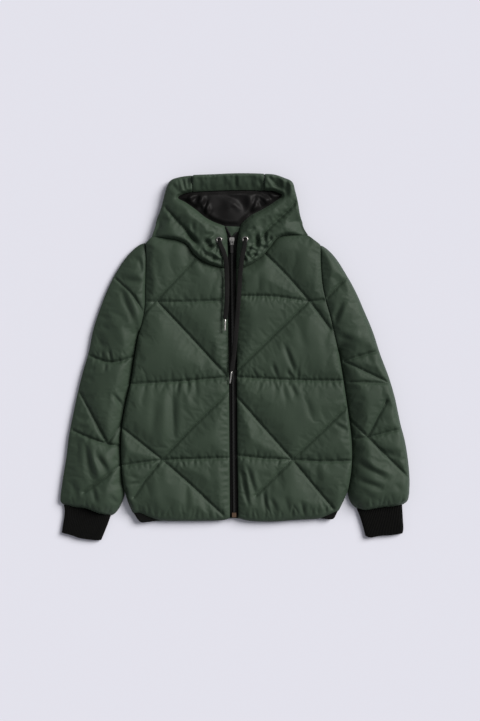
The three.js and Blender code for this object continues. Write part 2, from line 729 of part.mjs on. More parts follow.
function makeFronts() {
  makeFront("front_right", [
    stretch("zip", curve(ZIP_RIGHT)),
    stretch("neck", curve(NECK_RIGHT)),
    stretch("seam", curve(SHOULDER_RIGHT)),
    stretch("seam", curve(ARMHOLE_RIGHT)),
    stretch("side", curve(SIDE_RIGHT)),
    stretch("side", curve(FRONT_CORNER_RIGHT)),
    stretch("hem", curve(FRONT_HEM_RIGHT)),
  ], QUILT_FRONT_RIGHT, FOLDS_FRONT_RIGHT);
  makeFront("front_left", [
    stretch("hem", curve(FRONT_HEM_LEFT), true),
    stretch("side", curve(FRONT_CORNER_LEFT), true),
    stretch("side", curve(SIDE_LEFT), true),
    stretch("seam", curve(ARMHOLE_LEFT), true),
    stretch("seam", curve(SHOULDER_LEFT), true),
    stretch("neck", curve(NECK_LEFT), true),
    stretch("zip", curve(ZIP_LEFT), true),
  ], QUILT_FRONT_LEFT, FOLDS_FRONT_LEFT);
}

// The slit runs from beyond the armhole to beyond the cuff, inside both long edges
function slitAlong(outerRows, innerRows) {
  const outer = besideRun(curve(outerRows, SLIT_STEP), SLIT_INSET);
  const inner = besideRun(curve(innerRows, SLIT_STEP), SLIT_INSET);
  return [
    stretch("fold", outer),
    stretch("fold", [outer.at(-1), inner[0]]),
    stretch("fold", inner),
    stretch("fold", [inner.at(-1), outer[0]]),
  ];
}

function makeSleeves() {
  makeSleeve("sleeve_right", [
    stretch("side", curve(SLEEVE_OUT_RIGHT)),
    stretch("side", curve(SLEEVE_CORNER_RIGHT)),
    stretch("cuff", curve(SLEEVE_END_RIGHT)),
    stretch("side", curve(SLEEVE_IN_RIGHT)),
    stretch("side", curve(SIDE_RIGHT), true),
    stretch("seam", curve(ARMHOLE_RIGHT), true),
  ], slitAlong(SLIT_OUT_RIGHT, SLIT_IN_RIGHT), QUILT_SLEEVE_RIGHT, FOLDS_SLEEVE_RIGHT);
  makeSleeve("sleeve_left", [
    stretch("seam", curve(ARMHOLE_LEFT)),
    stretch("side", curve(SIDE_LEFT)),
    stretch("side", curve(SLEEVE_IN_LEFT), true),
    stretch("cuff", curve(SLEEVE_END_LEFT), true),
    stretch("side", curve(SLEEVE_CORNER_LEFT), true),
    stretch("side", curve(SLEEVE_OUT_LEFT), true),
  ], slitAlong(SLIT_IN_LEFT, SLIT_OUT_LEFT), QUILT_SLEEVE_LEFT, FOLDS_SLEEVE_LEFT);
}

// A rib-knit cuff: a patch between four edges, ribbed on its upper side
function makeCuff(name, seam, hem, first, last) {
  const count = CUFF_RIBS * 2;
  const [seamAt, hemAt, firstAt, lastAt] = [seam, hem, first, last].map((rows) => {
    const path = pathThrough(rows);
    return (share) => path.getPointAt(share);
  });
  const patch = (u, v) => {
    const point = seamAt(u).multiplyScalar(1 - v).addScaledVector(hemAt(u), v);
    point.addScaledVector(firstAt(v), 1 - u).addScaledVector(lastAt(v), u);
    point.addScaledVector(seamAt(0), -(1 - u) * (1 - v)).addScaledVector(seamAt(1), -u * (1 - v));
    return point.addScaledVector(hemAt(0), -(1 - u) * v).addScaledVector(hemAt(1), -u * v);
  };
  const cell = (i, j) => j * (count + 1) + i;
  const points = [];
  for (let j = 0; j <= CUFF_ROWS; j += 1) {
    for (let i = 0; i <= count; i += 1) {
      const v = CUFF_START + (1 - CUFF_START) * (j / CUFF_ROWS);
      const point = patch(i / count, v);
      const side = Math.min(i, count - i) / count;
      const rib = i % 2 === 0 ? 0 : CUFF_RIB_HEIGHT;
      point.z = dome(CUFF_EDGE, CUFF_TOP, side, CUFF_ROUND) + rib;
      points.push(point);
    }
  }
  const loop = [];
  for (let i = 0; i < count; i += 1) {
    loop.push(cell(i, CUFF_ROWS));
  }
  for (let j = CUFF_ROWS; j > 0; j -= 1) {
    loop.push(cell(count, j));
  }
  for (let i = count; i > 0; i -= 1) {
    loop.push(cell(i, 0));
  }
  for (let j = 0; j < CUFF_ROWS; j += 1) {
    loop.push(cell(0, j));
  }
  const faces = [];
  for (let j = 0; j < CUFF_ROWS; j += 1) {
    for (let i = 0; i < count; i += 1) {
      const [a, b, c, d] = [cell(i, j), cell(i + 1, j), cell(i + 1, j + 1), cell(i, j + 1)];
      faces.push(a, c, b, a, d, c);
    }
  }
  const start = points.length;
  const rim = loop.map((index) => points[index].clone().setZ(0));
  for (const [a, b, c] of THREE.ShapeUtils.triangulateShape(rim, [])) {
    faces.push(start + a, start + c, start + b);
  }
  loop.forEach((index, i) => {
    const next = (i + 1) % loop.length;
    faces.push(start + i, start + next, loop[next], start + i, loop[next], index);
  });
  const geometry = new THREE.BufferGeometry().setFromPoints([...points, ...rim]);
  geometry.setIndex(faces);
  const corners = table("u v", [
    [CUFF_SLIT_INSET, 1 + CUFF_SLIT_PAST],
    [1 - CUFF_SLIT_INSET, 1 + CUFF_SLIT_PAST],
    [1 - CUFF_SLIT_INSET, -CUFF_SLIT_PAST],
    [CUFF_SLIT_INSET, -CUFF_SLIT_PAST],
  ]).map(({ u, v }) => seamAt(u).lerp(hemAt(u), v));
  const slitOutline = { points: corners, kinds: corners.map(() => "cuff") };
  const middle = (CUFF_TOP - SLIT) / 2;
  const [roof, floor] = [middle + SLIT, middle].map((height) => flatSide(slitOutline, height));
  const slit = slab(name, slitOutline, roof, floor);
  addPiece(name, geometryOf(manifoldOf(geometry).subtract(manifoldOf(slit))), BLACK_KNIT);
}

function makeCuffs() {
  const seamRight = SLEEVE_END_RIGHT;
  const seamLeft = [...SLEEVE_END_LEFT].reverse();
  makeCuff("cuff_right", seamRight, CUFF_HEM_RIGHT, CUFF_OUT_RIGHT, CUFF_IN_RIGHT);
  makeCuff("cuff_left", seamLeft, CUFF_HEM_LEFT, CUFF_IN_LEFT, CUFF_OUT_LEFT);
}

// A hood panel is folded over at the rim: an upper layer joined to a lower one
function makeHoodPanel(name, stretches, lowerStretches, quilting, folds, lands) {
  const outline = outlineOf(stretches);
  const low = (point) => {
    const distance = edgeDistances(outline, point).fold ?? Infinity;
    const joined = distance < (HOOD_ROWS[0] + HOOD_ROWS[1]) / 2 && point.y > HOOD_JOIN_FROM;
    return joined ? LAYER_TOP - HOOD_OVERLAP : HOOD_LOW;
  };
  const sizes = { crown: HOOD_CROWN, quiltHeight: TUNNEL_HEIGHT, fillStep: HOOD_FILL };
  const shape = { ...PLAIN, ...sizes, outline, quilting, folds, lands, low };
  const upper = slab(name, outline, paddedSide(name, shape), rimmedSide(name, outline, HOOD_ROWS, low));
  const lowerOutline = outlineOf(lowerStretches, HOOD_INSET);
  const under = rimmedSide(name, lowerOutline, RIM_ROWS, restingLow(lowerOutline));
  const lower = slab(name, lowerOutline, flatSide(lowerOutline, LAYER_TOP), under);
  addPiece(name, geometryOf(manifoldOf(upper).add(manifoldOf(lower))), GREEN);
}

function makeHood() {
  const seamLine = ({ x }, from, to) => curve([{ x, y: from }, { x, y: to }], HOOD_STEP);
  const neckAt = (x) => neckPoints(x, x)[0];
  const [right, left] = [HOOD_SEAM_RIGHT, HOOD_SEAM_LEFT];
  const flapRight = [...curve(HOOD_FLAP_RIGHT, HOOD_STEP).slice(0, -1), neckAt(NECK_END.right)];
  const flapLeft = [neckAt(NECK_END.left), ...curve(HOOD_FLAP_LEFT, HOOD_STEP).slice(1)];
  makeHoodPanel("hood_side_right", [
    stretch("zip", curve(HOOD_ZIP_RIGHT, HOOD_STEP)),
    stretch("mouth", curve(MOUTH_RIGHT, HOOD_STEP)),
    stretch("panel", seamLine(right, right.rim, right.top)),
    stretch("fold", curve(HOOD_OUT_RIGHT, HOOD_STEP)),
    stretch("side", curve(HOOD_FLAP_RIGHT, HOOD_STEP)),
    stretch("neck", curve(NECK_RIGHT), true),
  ], [
    stretch("seam", neckPoints(NECK_END.right, right.x)),
    stretch("panel", seamLine(right, neckAt(right.x).y, right.top)),
    stretch("fold", curve(HOOD_OUT_RIGHT, HOOD_STEP)),
    stretch("side", flapRight),
  ], TUNNEL_RIGHT, FOLDS_HOOD_RIGHT, [EYELET_RIGHT]);
  makeHoodPanel("hood_side_left", [
    stretch("neck", curve(NECK_LEFT)),
    stretch("side", curve(HOOD_FLAP_LEFT, HOOD_STEP)),
    stretch("fold", curve(HOOD_OUT_LEFT, HOOD_STEP)),
    stretch("panel", seamLine(left, left.top, left.rim)),
    stretch("mouth", curve(MOUTH_LEFT, HOOD_STEP)),
    stretch("zip", curve(HOOD_ZIP_LEFT, HOOD_STEP)),
  ], [
    stretch("seam", neckPoints(left.x, NECK_END.left)),
    stretch("side", flapLeft),
    stretch("fold", curve(HOOD_OUT_LEFT, HOOD_STEP)),
    stretch("panel", seamLine(left, left.top, neckAt(left.x).y)),
  ], TUNNEL_LEFT, FOLDS_HOOD_LEFT, [EYELET_LEFT]);
  makeHoodPanel("hood_centre", [
    stretch("mouth", curve(MOUTH_TOP)),
    stretch("panel", seamLine(left, left.rim, left.top)),
    stretch("fold", curve(HOOD_TOP)),
    stretch("panel", seamLine(right, right.top, right.rim)),
  ], [
    stretch("seam", neckPoints(right.x, left.x)),
    stretch("panel", seamLine(left, neckAt(left.x).y, left.top)),
    stretch("fold", curve(HOOD_TOP)),
    stretch("panel", seamLine(right, right.top, neckAt(right.x).y)),
  ], [], [], []);
}

// Lining, where the hood's mouth shows it, with its folds inside the mouth
function makeLining() {
  const mouthLeft = [...MOUTH_LEFT].reverse();
  const mouthTop = [...MOUTH_TOP].reverse();
  const mouthRight = [...MOUTH_RIGHT].reverse();
  const outline = outlineOf([
    stretch("hem", curve([mouthRight.at(-1), mouthLeft[0]])),
    stretch("hem", curve(mouthLeft)),
    stretch("hem", curve(mouthTop)),
    stretch("hem", curve(mouthRight)),
  ], -LINING_MARGIN);
  const low = LAYER_TOP + GAP;
  const rise = (point) => {
    const border = Math.min(...Object.values(edgeDistances(outline, point)));
    const share = smoothStep(LINING_FOLDS.from, LINING_FOLDS.to, border);
    return low + LINING_WALL + share * FOLDS_LINING.reduce((sum, fold) => sum + foldHeight(fold, point), 0);
  };
  const points = paddedPoints({ ...PLAIN, outline, folds: FOLDS_LINING, fillStep: HOOD_FILL });
  const upper = { points, triangles: fillOutline("hood_lining", outline, points), height: rise };
  addPiece("hood_lining", slab("hood_lining", outline, upper, flatSide(outline, low)), CHARCOAL);
}

// A flat patch of one thickness
function makePatch(name, points, inset, lowAt, wall, material) {
  const outline = { points: shrink(points, inset), kinds: points.map(() => "hem") };
  const triangles = THREE.ShapeUtils.triangulateShape(outline.points, []);
  const lower = { points: outline.points, triangles, height: lowAt };
  const upper = { points: outline.points, triangles, height: (point) => lowAt(point) + wall };
  return addPiece(name, slab(name, outline, upper, lower), material);
}

// A strip of one thickness between two runs of points that pair up, left and right
function makeStrip(name, left, right, lowAt, wall, material) {
  const points = [...right, ...[...left].reverse()];
  const outline = { points, kinds: points.map(() => "zip") };
  const last = points.length - 1;
  const triangles = [];
  for (let i = 0; i < right.length - 1; i += 1) {
    triangles.push([last - i, i, i + 1], [last - i, i + 1, last - i - 1]);
  }
  const lower = { points, triangles, height: lowAt };
  const upper = { points, triangles, height: (point) => lowAt(point) + wall };
  addPiece(name, slab(name, outline, upper, lower), material);
}

function makeHemFacings() {
  const low = () => LAYER_TOP + GAP;
  const right = [
    ...curve(FRONT_HEM_RIGHT).filter((point) => point.x < FACING_FROM.right).reverse(),
    ...FACING_BACK_RIGHT.map((row) => new THREE.Vector3(row.x, row.y, 0)),
  ];
  const left = [
    ...curve(FRONT_HEM_LEFT).filter((point) => point.x > FACING_FROM.left),
    ...FACING_BACK_LEFT.map((row) => new THREE.Vector3(row.x, row.y, 0)),
  ];
  makePatch("hem_facing_right", right, FACING_INSET, low, FACING_WALL, BLACK_TAPE);
  makePatch("hem_facing_left", left, FACING_INSET, low, FACING_WALL, BLACK_TAPE);
}

function makeZip() {
  const low = LAYER_TOP + GAP;
  const guardLow = LAYER_TOP + 2 * GAP + LINING_WALL;
  const tapeHigh = guardLow + GUARD_WALL + GAP;
  const tapeLow = ({ y }) => low + (tapeHigh - low) * smoothStep(ZIP_RISE.from, ZIP_RISE.to, y);
  const below = (rows) => rows.filter((row) => row.y < TAPE_END);
  const edgeRight = [...ZIP_RIGHT, ...HOOD_ZIP_RIGHT.slice(1)];
  const edgeLeft = [...ZIP_LEFT, ...[...HOOD_ZIP_LEFT].reverse().slice(1)];
  const chainRight = besideRun(run([...CHAIN, CHAIN_OPEN_RIGHT], TAPE_STEPS), ZIP_ROOM / 2);
  const chainLeft = besideRun(run([...CHAIN, CHAIN_OPEN_LEFT], TAPE_STEPS), -ZIP_ROOM / 2);
  const sideRight = besideRun(run([...below(edgeRight), TAPE_TOP_RIGHT], TAPE_STEPS), -ZIP_ROOM);
  const sideLeft = besideRun(run([...below(edgeLeft), TAPE_TOP_LEFT], TAPE_STEPS), ZIP_ROOM);
  makeStrip("zip_tape_right", sideRight, chainRight, tapeLow, TAPE_WALL, BLACK_TAPE);
  makeStrip("zip_tape_left", chainLeft, sideLeft, tapeLow, TAPE_WALL, BLACK_TAPE);
  const guardRight = besideRun(run(HOOD_ZIP_RIGHT, GUARD_STEPS), -ZIP_ROOM);
  const guardLeft = besideRun(run([...HOOD_ZIP_LEFT].reverse(), GUARD_STEPS), ZIP_ROOM);
  makeStrip("wind_guard", guardRight, guardLeft, () => guardLow, GUARD_WALL, GREEN);
  makeSlider(tapeHigh + TAPE_WALL + GAP);
  const box = new THREE.BoxGeometry(BOTTOM_BOX.width, BOTTOM_BOX.length, BOTTOM_BOX.height);
  const bottomBox = addPiece("zip_bottom_box", box, BRONZE);
  bottomBox.position.set(BOTTOM_BOX.x, BOTTOM_BOX.y, low + TAPE_WALL + GAP + BOTTOM_BOX.height / 2);
}

// A plate of one thickness
function plate(shape, height, curveSegments = 6) {
  return new THREE.ExtrudeGeometry(shape, { depth: height, bevelEnabled: false, curveSegments });
}

// The slider's body carries an arch, and the pull tab's bar turns inside that arch
function makeSlider(low) {
  const { width, length, height, neck } = SLIDER;
  const body = new THREE.Shape();
  body.moveTo(-neck / 2, -length / 2);
  body.lineTo(neck / 2, -length / 2);
  body.bezierCurveTo(neck / 2, 0, width / 2, 0, width / 2, length * 0.3);
  body.quadraticCurveTo(width / 2, length / 2, width * 0.2, length / 2);
  body.lineTo(-width * 0.2, length / 2);
  body.quadraticCurveTo(-width / 2, length / 2, -width / 2, length * 0.3);
  body.bezierCurveTo(-width / 2, 0, -neck / 2, 0, -neck / 2, -length / 2);
  const arch = new THREE.Shape();
  arch.moveTo(-ARCH.length / 2, 0);
  arch.lineTo(ARCH.length / 2, 0);
  arch.lineTo(ARCH.length / 2, ARCH.axis);
  arch.absarc(0, ARCH.axis, ARCH.length / 2, 0, Math.PI, false);
  arch.lineTo(-ARCH.length / 2, 0);
  const tunnel = new THREE.Path();
  tunnel.absarc(0, ARCH.axis, ARCH.bore, 0, 2 * Math.PI, true);
  arch.holes.push(tunnel);
  const archSolid = plate(arch, ARCH.width, 12);
  archSolid.translate(0, 0, -ARCH.width / 2);
  archSolid.rotateX(Math.PI / 2);
  archSolid.rotateZ(Math.PI / 2);
  archSolid.translate(0, 0, height - ARCH.sunk);
  const slider = geometryOf(manifoldOf(plate(body, height)).add(manifoldOf(archSolid)));
  const sliderMesh = addPiece("zip_slider", slider, SILVER);
  sliderMesh.position.set(SLIDER.x, SLIDER.y, low);
  const bar = new THREE.CylinderGeometry(TAB.bar, TAB.bar, TAB.width, 12);
  bar.rotateZ(Math.PI / 2);
  const frame = new THREE.Shape();
  frame.moveTo(-TAB.width / 2, 0);
  frame.lineTo(-TAB.width / 2, -TAB.length + TAB.round);
  frame.quadraticCurveTo(-TAB.width / 2, -TAB.length, 0, -TAB.length);
  frame.quadraticCurveTo(TAB.width / 2, -TAB.length, TAB.width / 2, -TAB.length + TAB.round);
  frame.lineTo(TAB.width / 2, 0);
  frame.lineTo(TAB.slot / 2, 0);
  frame.lineTo(TAB.slot / 2, -TAB.slotLength);
  frame.lineTo(-TAB.slot / 2, -TAB.slotLength);
  frame.lineTo(-TAB.slot / 2, 0);
  const tabPlate = plate(frame, TAB.wall);
  tabPlate.translate(0, 0, -TAB.wall / 2);
  const tab = geometryOf(manifoldOf(bar).add(manifoldOf(tabPlate)));
  const tabMesh = addPiece("zip_pull_tab", tab, SILVER);
  tabMesh.position.set(SLIDER.x, SLIDER.y, low + height - ARCH.sunk + ARCH.axis);
  tabMesh.rotation.x = TAB.droop;
}

// A ring with a rounded upper side, on a level land in the hood
function makeEyelets() {
  const { inner, outer, height, crown } = EYELET;
  const middle = (inner + outer) / 2;
  const profile = table("radius z", [
    [inner, 0],
    [outer, 0],
    [outer, height * 0.4],
    [middle + crown, height],
    [middle - crown, height],
    [inner, height * 0.4],
    [inner, 0],
  ]).map(({ radius, z }) => new THREE.Vector2(radius, z));
  for (const [name, land] of [["eyelet_right", EYELET_RIGHT], ["eyelet_left", EYELET_LEFT]]) {
    const ring = new THREE.LatheGeometry(profile, 20);
    ring.rotateX(Math.PI / 2);
    const mesh = addPiece(name, ring, SILVER);
    mesh.position.set(land.x, land.y, land.z + GAP);
  }
}

// A flat braided cord along its route, and its metal tip
function makeDrawcord(side, route, tipEnd) {
  const path = pathThrough(route);
  const section = new THREE.Shape();
  section.absellipse(0, 0, CORD.height / 2, CORD.width / 2, 0, 2 * Math.PI, false, 0);
  const steps = Math.round(path.getLength() / CORD.step);
  const cord = new THREE.ExtrudeGeometry(section, { steps, extrudePath: path, curveSegments: 10 });
  addPiece(`drawcord_${side}`, cord, BLACK_TAPE);
  const end = new THREE.Vector3(tipEnd.x, tipEnd.y, tipEnd.z);
  const start = path.getPointAt(1);
  const direction = end.clone().sub(start).normalize();
  const length = end.distanceTo(start) - GAP;
  const tip = new THREE.CylinderGeometry(CORD.tip, CORD.tip, length, 12);
  const mesh = addPiece(`cord_tip_${side}`, tip, SILVER);
  mesh.quaternion.setFromUnitVectors(new THREE.Vector3(0, 1, 0), direction);
  mesh.position.copy(start.addScaledVector(direction, GAP + length / 2));
}

function makeDrawcords() {
  makeDrawcord("right", CORD_RIGHT, TIP_RIGHT);
  makeDrawcord("left", CORD_LEFT, TIP_LEFT);
}

makeBack();
makeFronts();
makeSleeves();
makeCuffs();
makeHood();
makeLining();
makeHemFacings();
makeZip();
makeEyelets();
makeDrawcords();

export default jacket;
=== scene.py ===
import math

import bmesh
import bpy
import numpy as np
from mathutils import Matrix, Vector
from mathutils.bvhtree import BVHTree
from mathutils.geometry import delaunay_2d_cdt


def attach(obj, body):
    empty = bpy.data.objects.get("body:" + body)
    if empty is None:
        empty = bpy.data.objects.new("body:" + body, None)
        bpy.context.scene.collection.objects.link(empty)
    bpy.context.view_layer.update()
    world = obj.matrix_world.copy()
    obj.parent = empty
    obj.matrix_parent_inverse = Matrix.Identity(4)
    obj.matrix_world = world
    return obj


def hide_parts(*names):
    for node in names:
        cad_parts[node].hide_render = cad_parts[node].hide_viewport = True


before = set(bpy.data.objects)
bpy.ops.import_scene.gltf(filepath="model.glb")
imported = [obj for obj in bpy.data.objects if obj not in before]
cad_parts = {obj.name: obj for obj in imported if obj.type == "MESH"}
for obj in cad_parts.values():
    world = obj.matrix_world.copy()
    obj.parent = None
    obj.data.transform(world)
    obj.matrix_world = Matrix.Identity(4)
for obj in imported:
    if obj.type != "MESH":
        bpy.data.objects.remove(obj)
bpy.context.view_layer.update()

# A hooded quilted jacket that lies on its back, dressed over its solids.
# Tables hold millimetres, seen from above; the scene is in metres.
# Right and left are the wearer's: the right side is at negative X.

MM = 0.001
IMAGE_WIDTH = 480
IMAGE_HEIGHT = 721
PIXEL = 2.4 * MM
ORIGIN_COLUMN = 235
ORIGIN_ROW = 357.25
VIEW_X = (IMAGE_WIDTH / 2 - ORIGIN_COLUMN) * PIXEL
VIEW_Y = (ORIGIN_ROW - IMAGE_HEIGHT / 2) * PIXEL
CAMERA_HEIGHT = 3.5
OUTLINE_HEIGHT = 0.012
SENSOR = 36

# Heights and steps of the dressed cloth
LAYER_TOP = 12
FRONT_LOW = 12.3
HOOD_LOW = 13.8
FRONT_CROWN = 32
SLEEVE_CROWN = 38
TILTED_CROWN = 43
HOOD_CROWN = 41
QUILT_REACH = 66
STITCH_SINK = 4.2
STITCH_WIDTH = 2.7
THINNEST = 2.5
CLOTH_STEP = 3.9
UNDER_STEP = 14
UNDER_ROUND = 18
UNDER_STEEP = 0.5
SEAM_INSET = 0.2
BLEND = 4
SEED = 11


# Camera and lights
def make_camera():
    data = bpy.data.cameras.new("camera")
    data.sensor_width = SENSOR
    data.lens = SENSOR * (CAMERA_HEIGHT - OUTLINE_HEIGHT) / (IMAGE_HEIGHT * PIXEL)
    camera = bpy.data.objects.new("camera", data)
    camera.location = (VIEW_X, VIEW_Y, CAMERA_HEIGHT)
    bpy.context.scene.collection.objects.link(camera)
    bpy.context.scene.camera = camera


SUN_STRENGTH = 4.15
SUN_ANGLE = 34
SUN_FROM = (0.74, 0.44, 0.62)
SUN_COLOUR = (1.0, 0.985, 0.96)
FILL_COLOUR = (0.95, 0.96, 1.0)
FILL_STRENGTH = 0.31
FLOOR_COLOUR = (0.722, 0.722, 0.796)
FLOOR_SIZE = 8


def make_light():
    data = bpy.data.lights.new("key", "SUN")
    data.energy = SUN_STRENGTH
    data.angle = math.radians(SUN_ANGLE)
    data.color = SUN_COLOUR
    sun = bpy.data.objects.new("key", data)
    sun.rotation_mode = "QUATERNION"
    sun.rotation_quaternion = Vector(SUN_FROM).to_track_quat("Z", "Y")
    bpy.context.scene.collection.objects.link(sun)
    world = bpy.data.worlds.new("studio")
    world.use_nodes = True
    background = world.node_tree.nodes["Background"]
    background.inputs["Color"].default_value = (*FILL_COLOUR, 1)
    background.inputs["Strength"].default_value = FILL_STRENGTH
    bpy.context.scene.world = world
    bpy.context.scene.view_settings.view_transform = "Standard"
    bpy.context.scene.view_settings.look = "None"


# Materials
def make_material(name, colour, roughness, specular=0.4, metallic=0.0):
    material = bpy.data.materials.new(name)
    material.use_nodes = True
    shader = material.node_tree.nodes["Principled BSDF"]
    shader.inputs["Base Color"].default_value = (*colour, 1)
    shader.inputs["Roughness"].default_value = roughness
    shader.inputs["Specular IOR Level"].default_value = specular
    shader.inputs["Metallic"].default_value = metallic
    return material, shader


def add_node(material, kind, **values):
    node = material.node_tree.nodes.new(kind)
    for key, value in values.items():
        if key in node.inputs:
            node.inputs[key].default_value = value
        else:
            setattr(node, key, value)
    return node


def link(material, source, output, target, socket):
    material.node_tree.links.new(source.outputs[output], target.inputs[socket])


def place_node(material, stretch=(1, 1, 1), turn=0.0):
    """Positions on the piece, stretched and turned about Z."""
    where = add_node(material, "ShaderNodeTexCoord")
    mapping = add_node(material, "ShaderNodeMapping")
    mapping.inputs["Scale"].default_value = stretch
    mapping.inputs["Rotation"].default_value = (0, 0, turn)
    link(material, where, "Object", mapping, "Vector")
    return mapping


BLOTCH_DETAIL = 4.0
BUMP_DETAIL = 3.0
DARK_AT = 0.35
LIGHT_AT = 0.65


def vary_colour(material, shader, dark, light, scale, stretch=(1, 1, 1)):
    """Blotchy change between two close colours."""
    noise = add_node(material, "ShaderNodeTexNoise", Scale=scale, Detail=BLOTCH_DETAIL)
    link(material, place_node(material, stretch), "Vector", noise, "Vector")
    ramp = add_node(material, "ShaderNodeValToRGB")
    ramp.color_ramp.elements[0].position = DARK_AT
    ramp.color_ramp.elements[1].position = LIGHT_AT
    ramp.color_ramp.elements[0].color = (*dark, 1)
    ramp.color_ramp.elements[1].color = (*light, 1)
    link(material, noise, "Fac", ramp, "Fac")
    link(material, ramp, "Color", shader, "Base Color")


def add_bump(material, shader, texture, output, height, below=None):
    """Stacks one more texture of a height in metres on the shader's normal."""
    bump = add_node(material, "ShaderNodeBump", Distance=height, Strength=1.0)
    link(material, texture, output, bump, "Height")
    if below is not None:
        link(material, below, "Normal", bump, "Normal")
    link(material, bump, "Normal", shader, "Normal")
    return bump


def noise_bump(material, shader, scale, height, below=None, stretch=(1, 1, 1)):
    noise = add_node(material, "ShaderNodeTexNoise", Scale=scale, Detail=BUMP_DETAIL)
    link(material, place_node(material, stretch), "Vector", noise, "Vector")
    return add_bump(material, shader, noise, "Fac", height, below)


def wave_bump(material, shader, pitch, height, turn, below=None):
    """Straight threads of a pitch in metres."""
    wave = add_node(material, "ShaderNodeTexWave", Scale=math.pi / 10 / pitch, Distortion=0.0)
    link(material, place_node(material, turn=turn), "Vector", wave, "Vector")
    return add_bump(material, shader, wave, "Fac", height, below)


SHELL_DARK = (0.0285, 0.0440, 0.0292)
SHELL_LIGHT = (0.0330, 0.0502, 0.0334)
SHELL_THREAD = 0.55 * MM


def shell_material():
    material, shader = make_material("green_shell", SHELL_LIGHT, 0.55, 0.16)
    shader.inputs["Sheen Weight"].default_value = 0.04
    shader.inputs["Sheen Roughness"].default_value = 0.4
    shader.inputs["Sheen Tint"].default_value = (0.7, 0.9, 0.72, 1)
    vary_colour(material, shader, SHELL_DARK, SHELL_LIGHT, 14, (1.6, 0.6, 1))
    crinkle = noise_bump(material, shader, 34, 0.24 * MM, stretch=(1.5, 0.7, 1))
    crumple = noise_bump(material, shader, 210, 0.05 * MM, crinkle)
    across = wave_bump(material, shader, SHELL_THREAD, 0.03 * MM, 0, crumple)
    wave_bump(material, shader, SHELL_THREAD, 0.03 * MM, math.pi / 2, across)
    return material


# Stitch thread: its colour is painted darker than the shell, as painted shade for the creases that the
# quilting lines sink into
def crease_shade_thread_material():
    material, shader = make_material("green_thread_painted_crease_shade", (0.013, 0.021, 0.015), 0.7, 0.15)
    vary_colour(material, shader, (0.010, 0.017, 0.012), (0.016, 0.026, 0.019), 400)
    return material


def knit_material():
    material, shader = make_material("black_rib_knit", (0.0036, 0.0036, 0.0033), 0.95, 0.05)
    shader.inputs["Sheen Weight"].default_value = 0.05
    vary_colour(material, shader, (0.0028, 0.0028, 0.0026), (0.0044, 0.0044, 0.0041), 300)
    rows = wave_bump(material, shader, 1.4 * MM, 0.25 * MM, math.pi / 2)
    noise_bump(material, shader, 900, 0.15 * MM, rows)
    return material


def tape_material(name, colour, pitch):
    material, shader = make_material(name, colour, 0.85, 0.1)
    vary_colour(material, shader, tuple(0.8 * c for c in colour), colour, 250)
    first = wave_bump(material, shader, pitch, 0.12 * MM, math.radians(38))
    wave_bump(material, shader, pitch, 0.12 * MM, math.radians(-38), first)
    return material


def cord_material():
    material, shader = make_material("black_braid", (0.0082, 0.008, 0.0076), 0.8, 0.14)
    vary_colour(material, shader, (0.0064, 0.0062, 0.006), (0.0102, 0.0099, 0.0095), 500)
    first = wave_bump(material, shader, 2.2 * MM, 0.35 * MM, math.radians(32))
    wave_bump(material, shader, 2.2 * MM, 0.35 * MM, math.radians(-32), first)
    return material


def lining_material():
    material, shader = make_material("charcoal_satin", (0.0095, 0.009, 0.0088), 0.55, 0.14)
    shader.inputs["Anisotropic"].default_value = 0.4
    vary_colour(material, shader, (0.0058, 0.0055, 0.0055), (0.0090, 0.0085, 0.0084), 20)
    soft = noise_bump(material, shader, 45, 0.4 * MM)
    wave_bump(material, shader, 0.5 * MM, 0.02 * MM, 0.3, soft)
    return material


def metal_material(name, colour, roughness):
    material, shader = make_material(name, colour, roughness, 0.5, 1.0)
    vary_colour(material, shader, tuple(0.82 * c for c in colour), colour, 300)
    noise_bump(material, shader, 700, 0.03 * MM)
    return material


def teeth_material():
    material, shader = make_material("black_teeth", (0.009, 0.009, 0.0088), 0.42, 0.5)
    noise_bump(material, shader, 600, 0.05 * MM)
    vary_colour(material, shader, (0.007, 0.007, 0.007), (0.011, 0.011, 0.0105), 400)
    return material


def floor_material():
    material, shader = make_material("studio_floor", FLOOR_COLOUR, 0.9, 0.0)
    noise_bump(material, shader, 3, 0.1 * MM)
    return material


SHELL = shell_material()
THREAD_WITH_PAINTED_SHADE = crease_shade_thread_material()
KNIT = knit_material()
TAPE = tape_material("black_tape", (0.0044, 0.0044, 0.0043), 0.8 * MM)
FACING = tape_material("black_facing", (0.0052, 0.0052, 0.005), 0.5 * MM)
CORD = cord_material()
LINING = lining_material()
SILVER = metal_material("silver_metal", (0.62, 0.60, 0.57), 0.28)
NICKEL = metal_material("dark_nickel", (0.30, 0.29, 0.28), 0.3)
BLACK_NICKEL = metal_material("black_nickel", (0.075, 0.072, 0.07), 0.36)
BRONZE = metal_material("bronze_metal", (0.26, 0.17, 0.115), 0.36)
TEETH = teeth_material()


# Flat geometry
def unit(vectors):
    return vectors / np.maximum(np.linalg.norm(vectors, axis=-1, keepdims=True), 1e-12)


CURVE_SAMPLES = 12
LEAST_OPENING = 0.4


def curve(rows, step=CLOTH_STEP):
    """Even points along a smooth curve through rows."""
    knots = np.array(rows, float)
    knots = np.vstack([2 * knots[0] - knots[1], knots, 2 * knots[-1] - knots[-2]])
    share = np.linspace(0, 1, CURVE_SAMPLES, endpoint=False)[:, None]
    dense = []
    for a, b, c, d in zip(knots, knots[1:], knots[2:], knots[3:]):
        ab, bc, cd = (np.linalg.norm(q - p) ** 0.5 for p, q in ((a, b), (b, c), (c, d)))
        leave = ((b - a) / ab - (c - a) / (ab + bc) + (c - b) / bc) * bc
        arrive = ((c - b) / bc - (d - b) / (bc + cd) + (d - c) / cd) * bc
        square, cube = share**2, share**3
        dense.append(
            (2 * cube - 3 * square + 1) * b + (cube - 2 * square + share) * leave
            + (3 * square - 2 * cube) * c + (cube - square) * arrive
        )
    return evenly(np.vstack([*dense, knots[-2:-1]]), step)


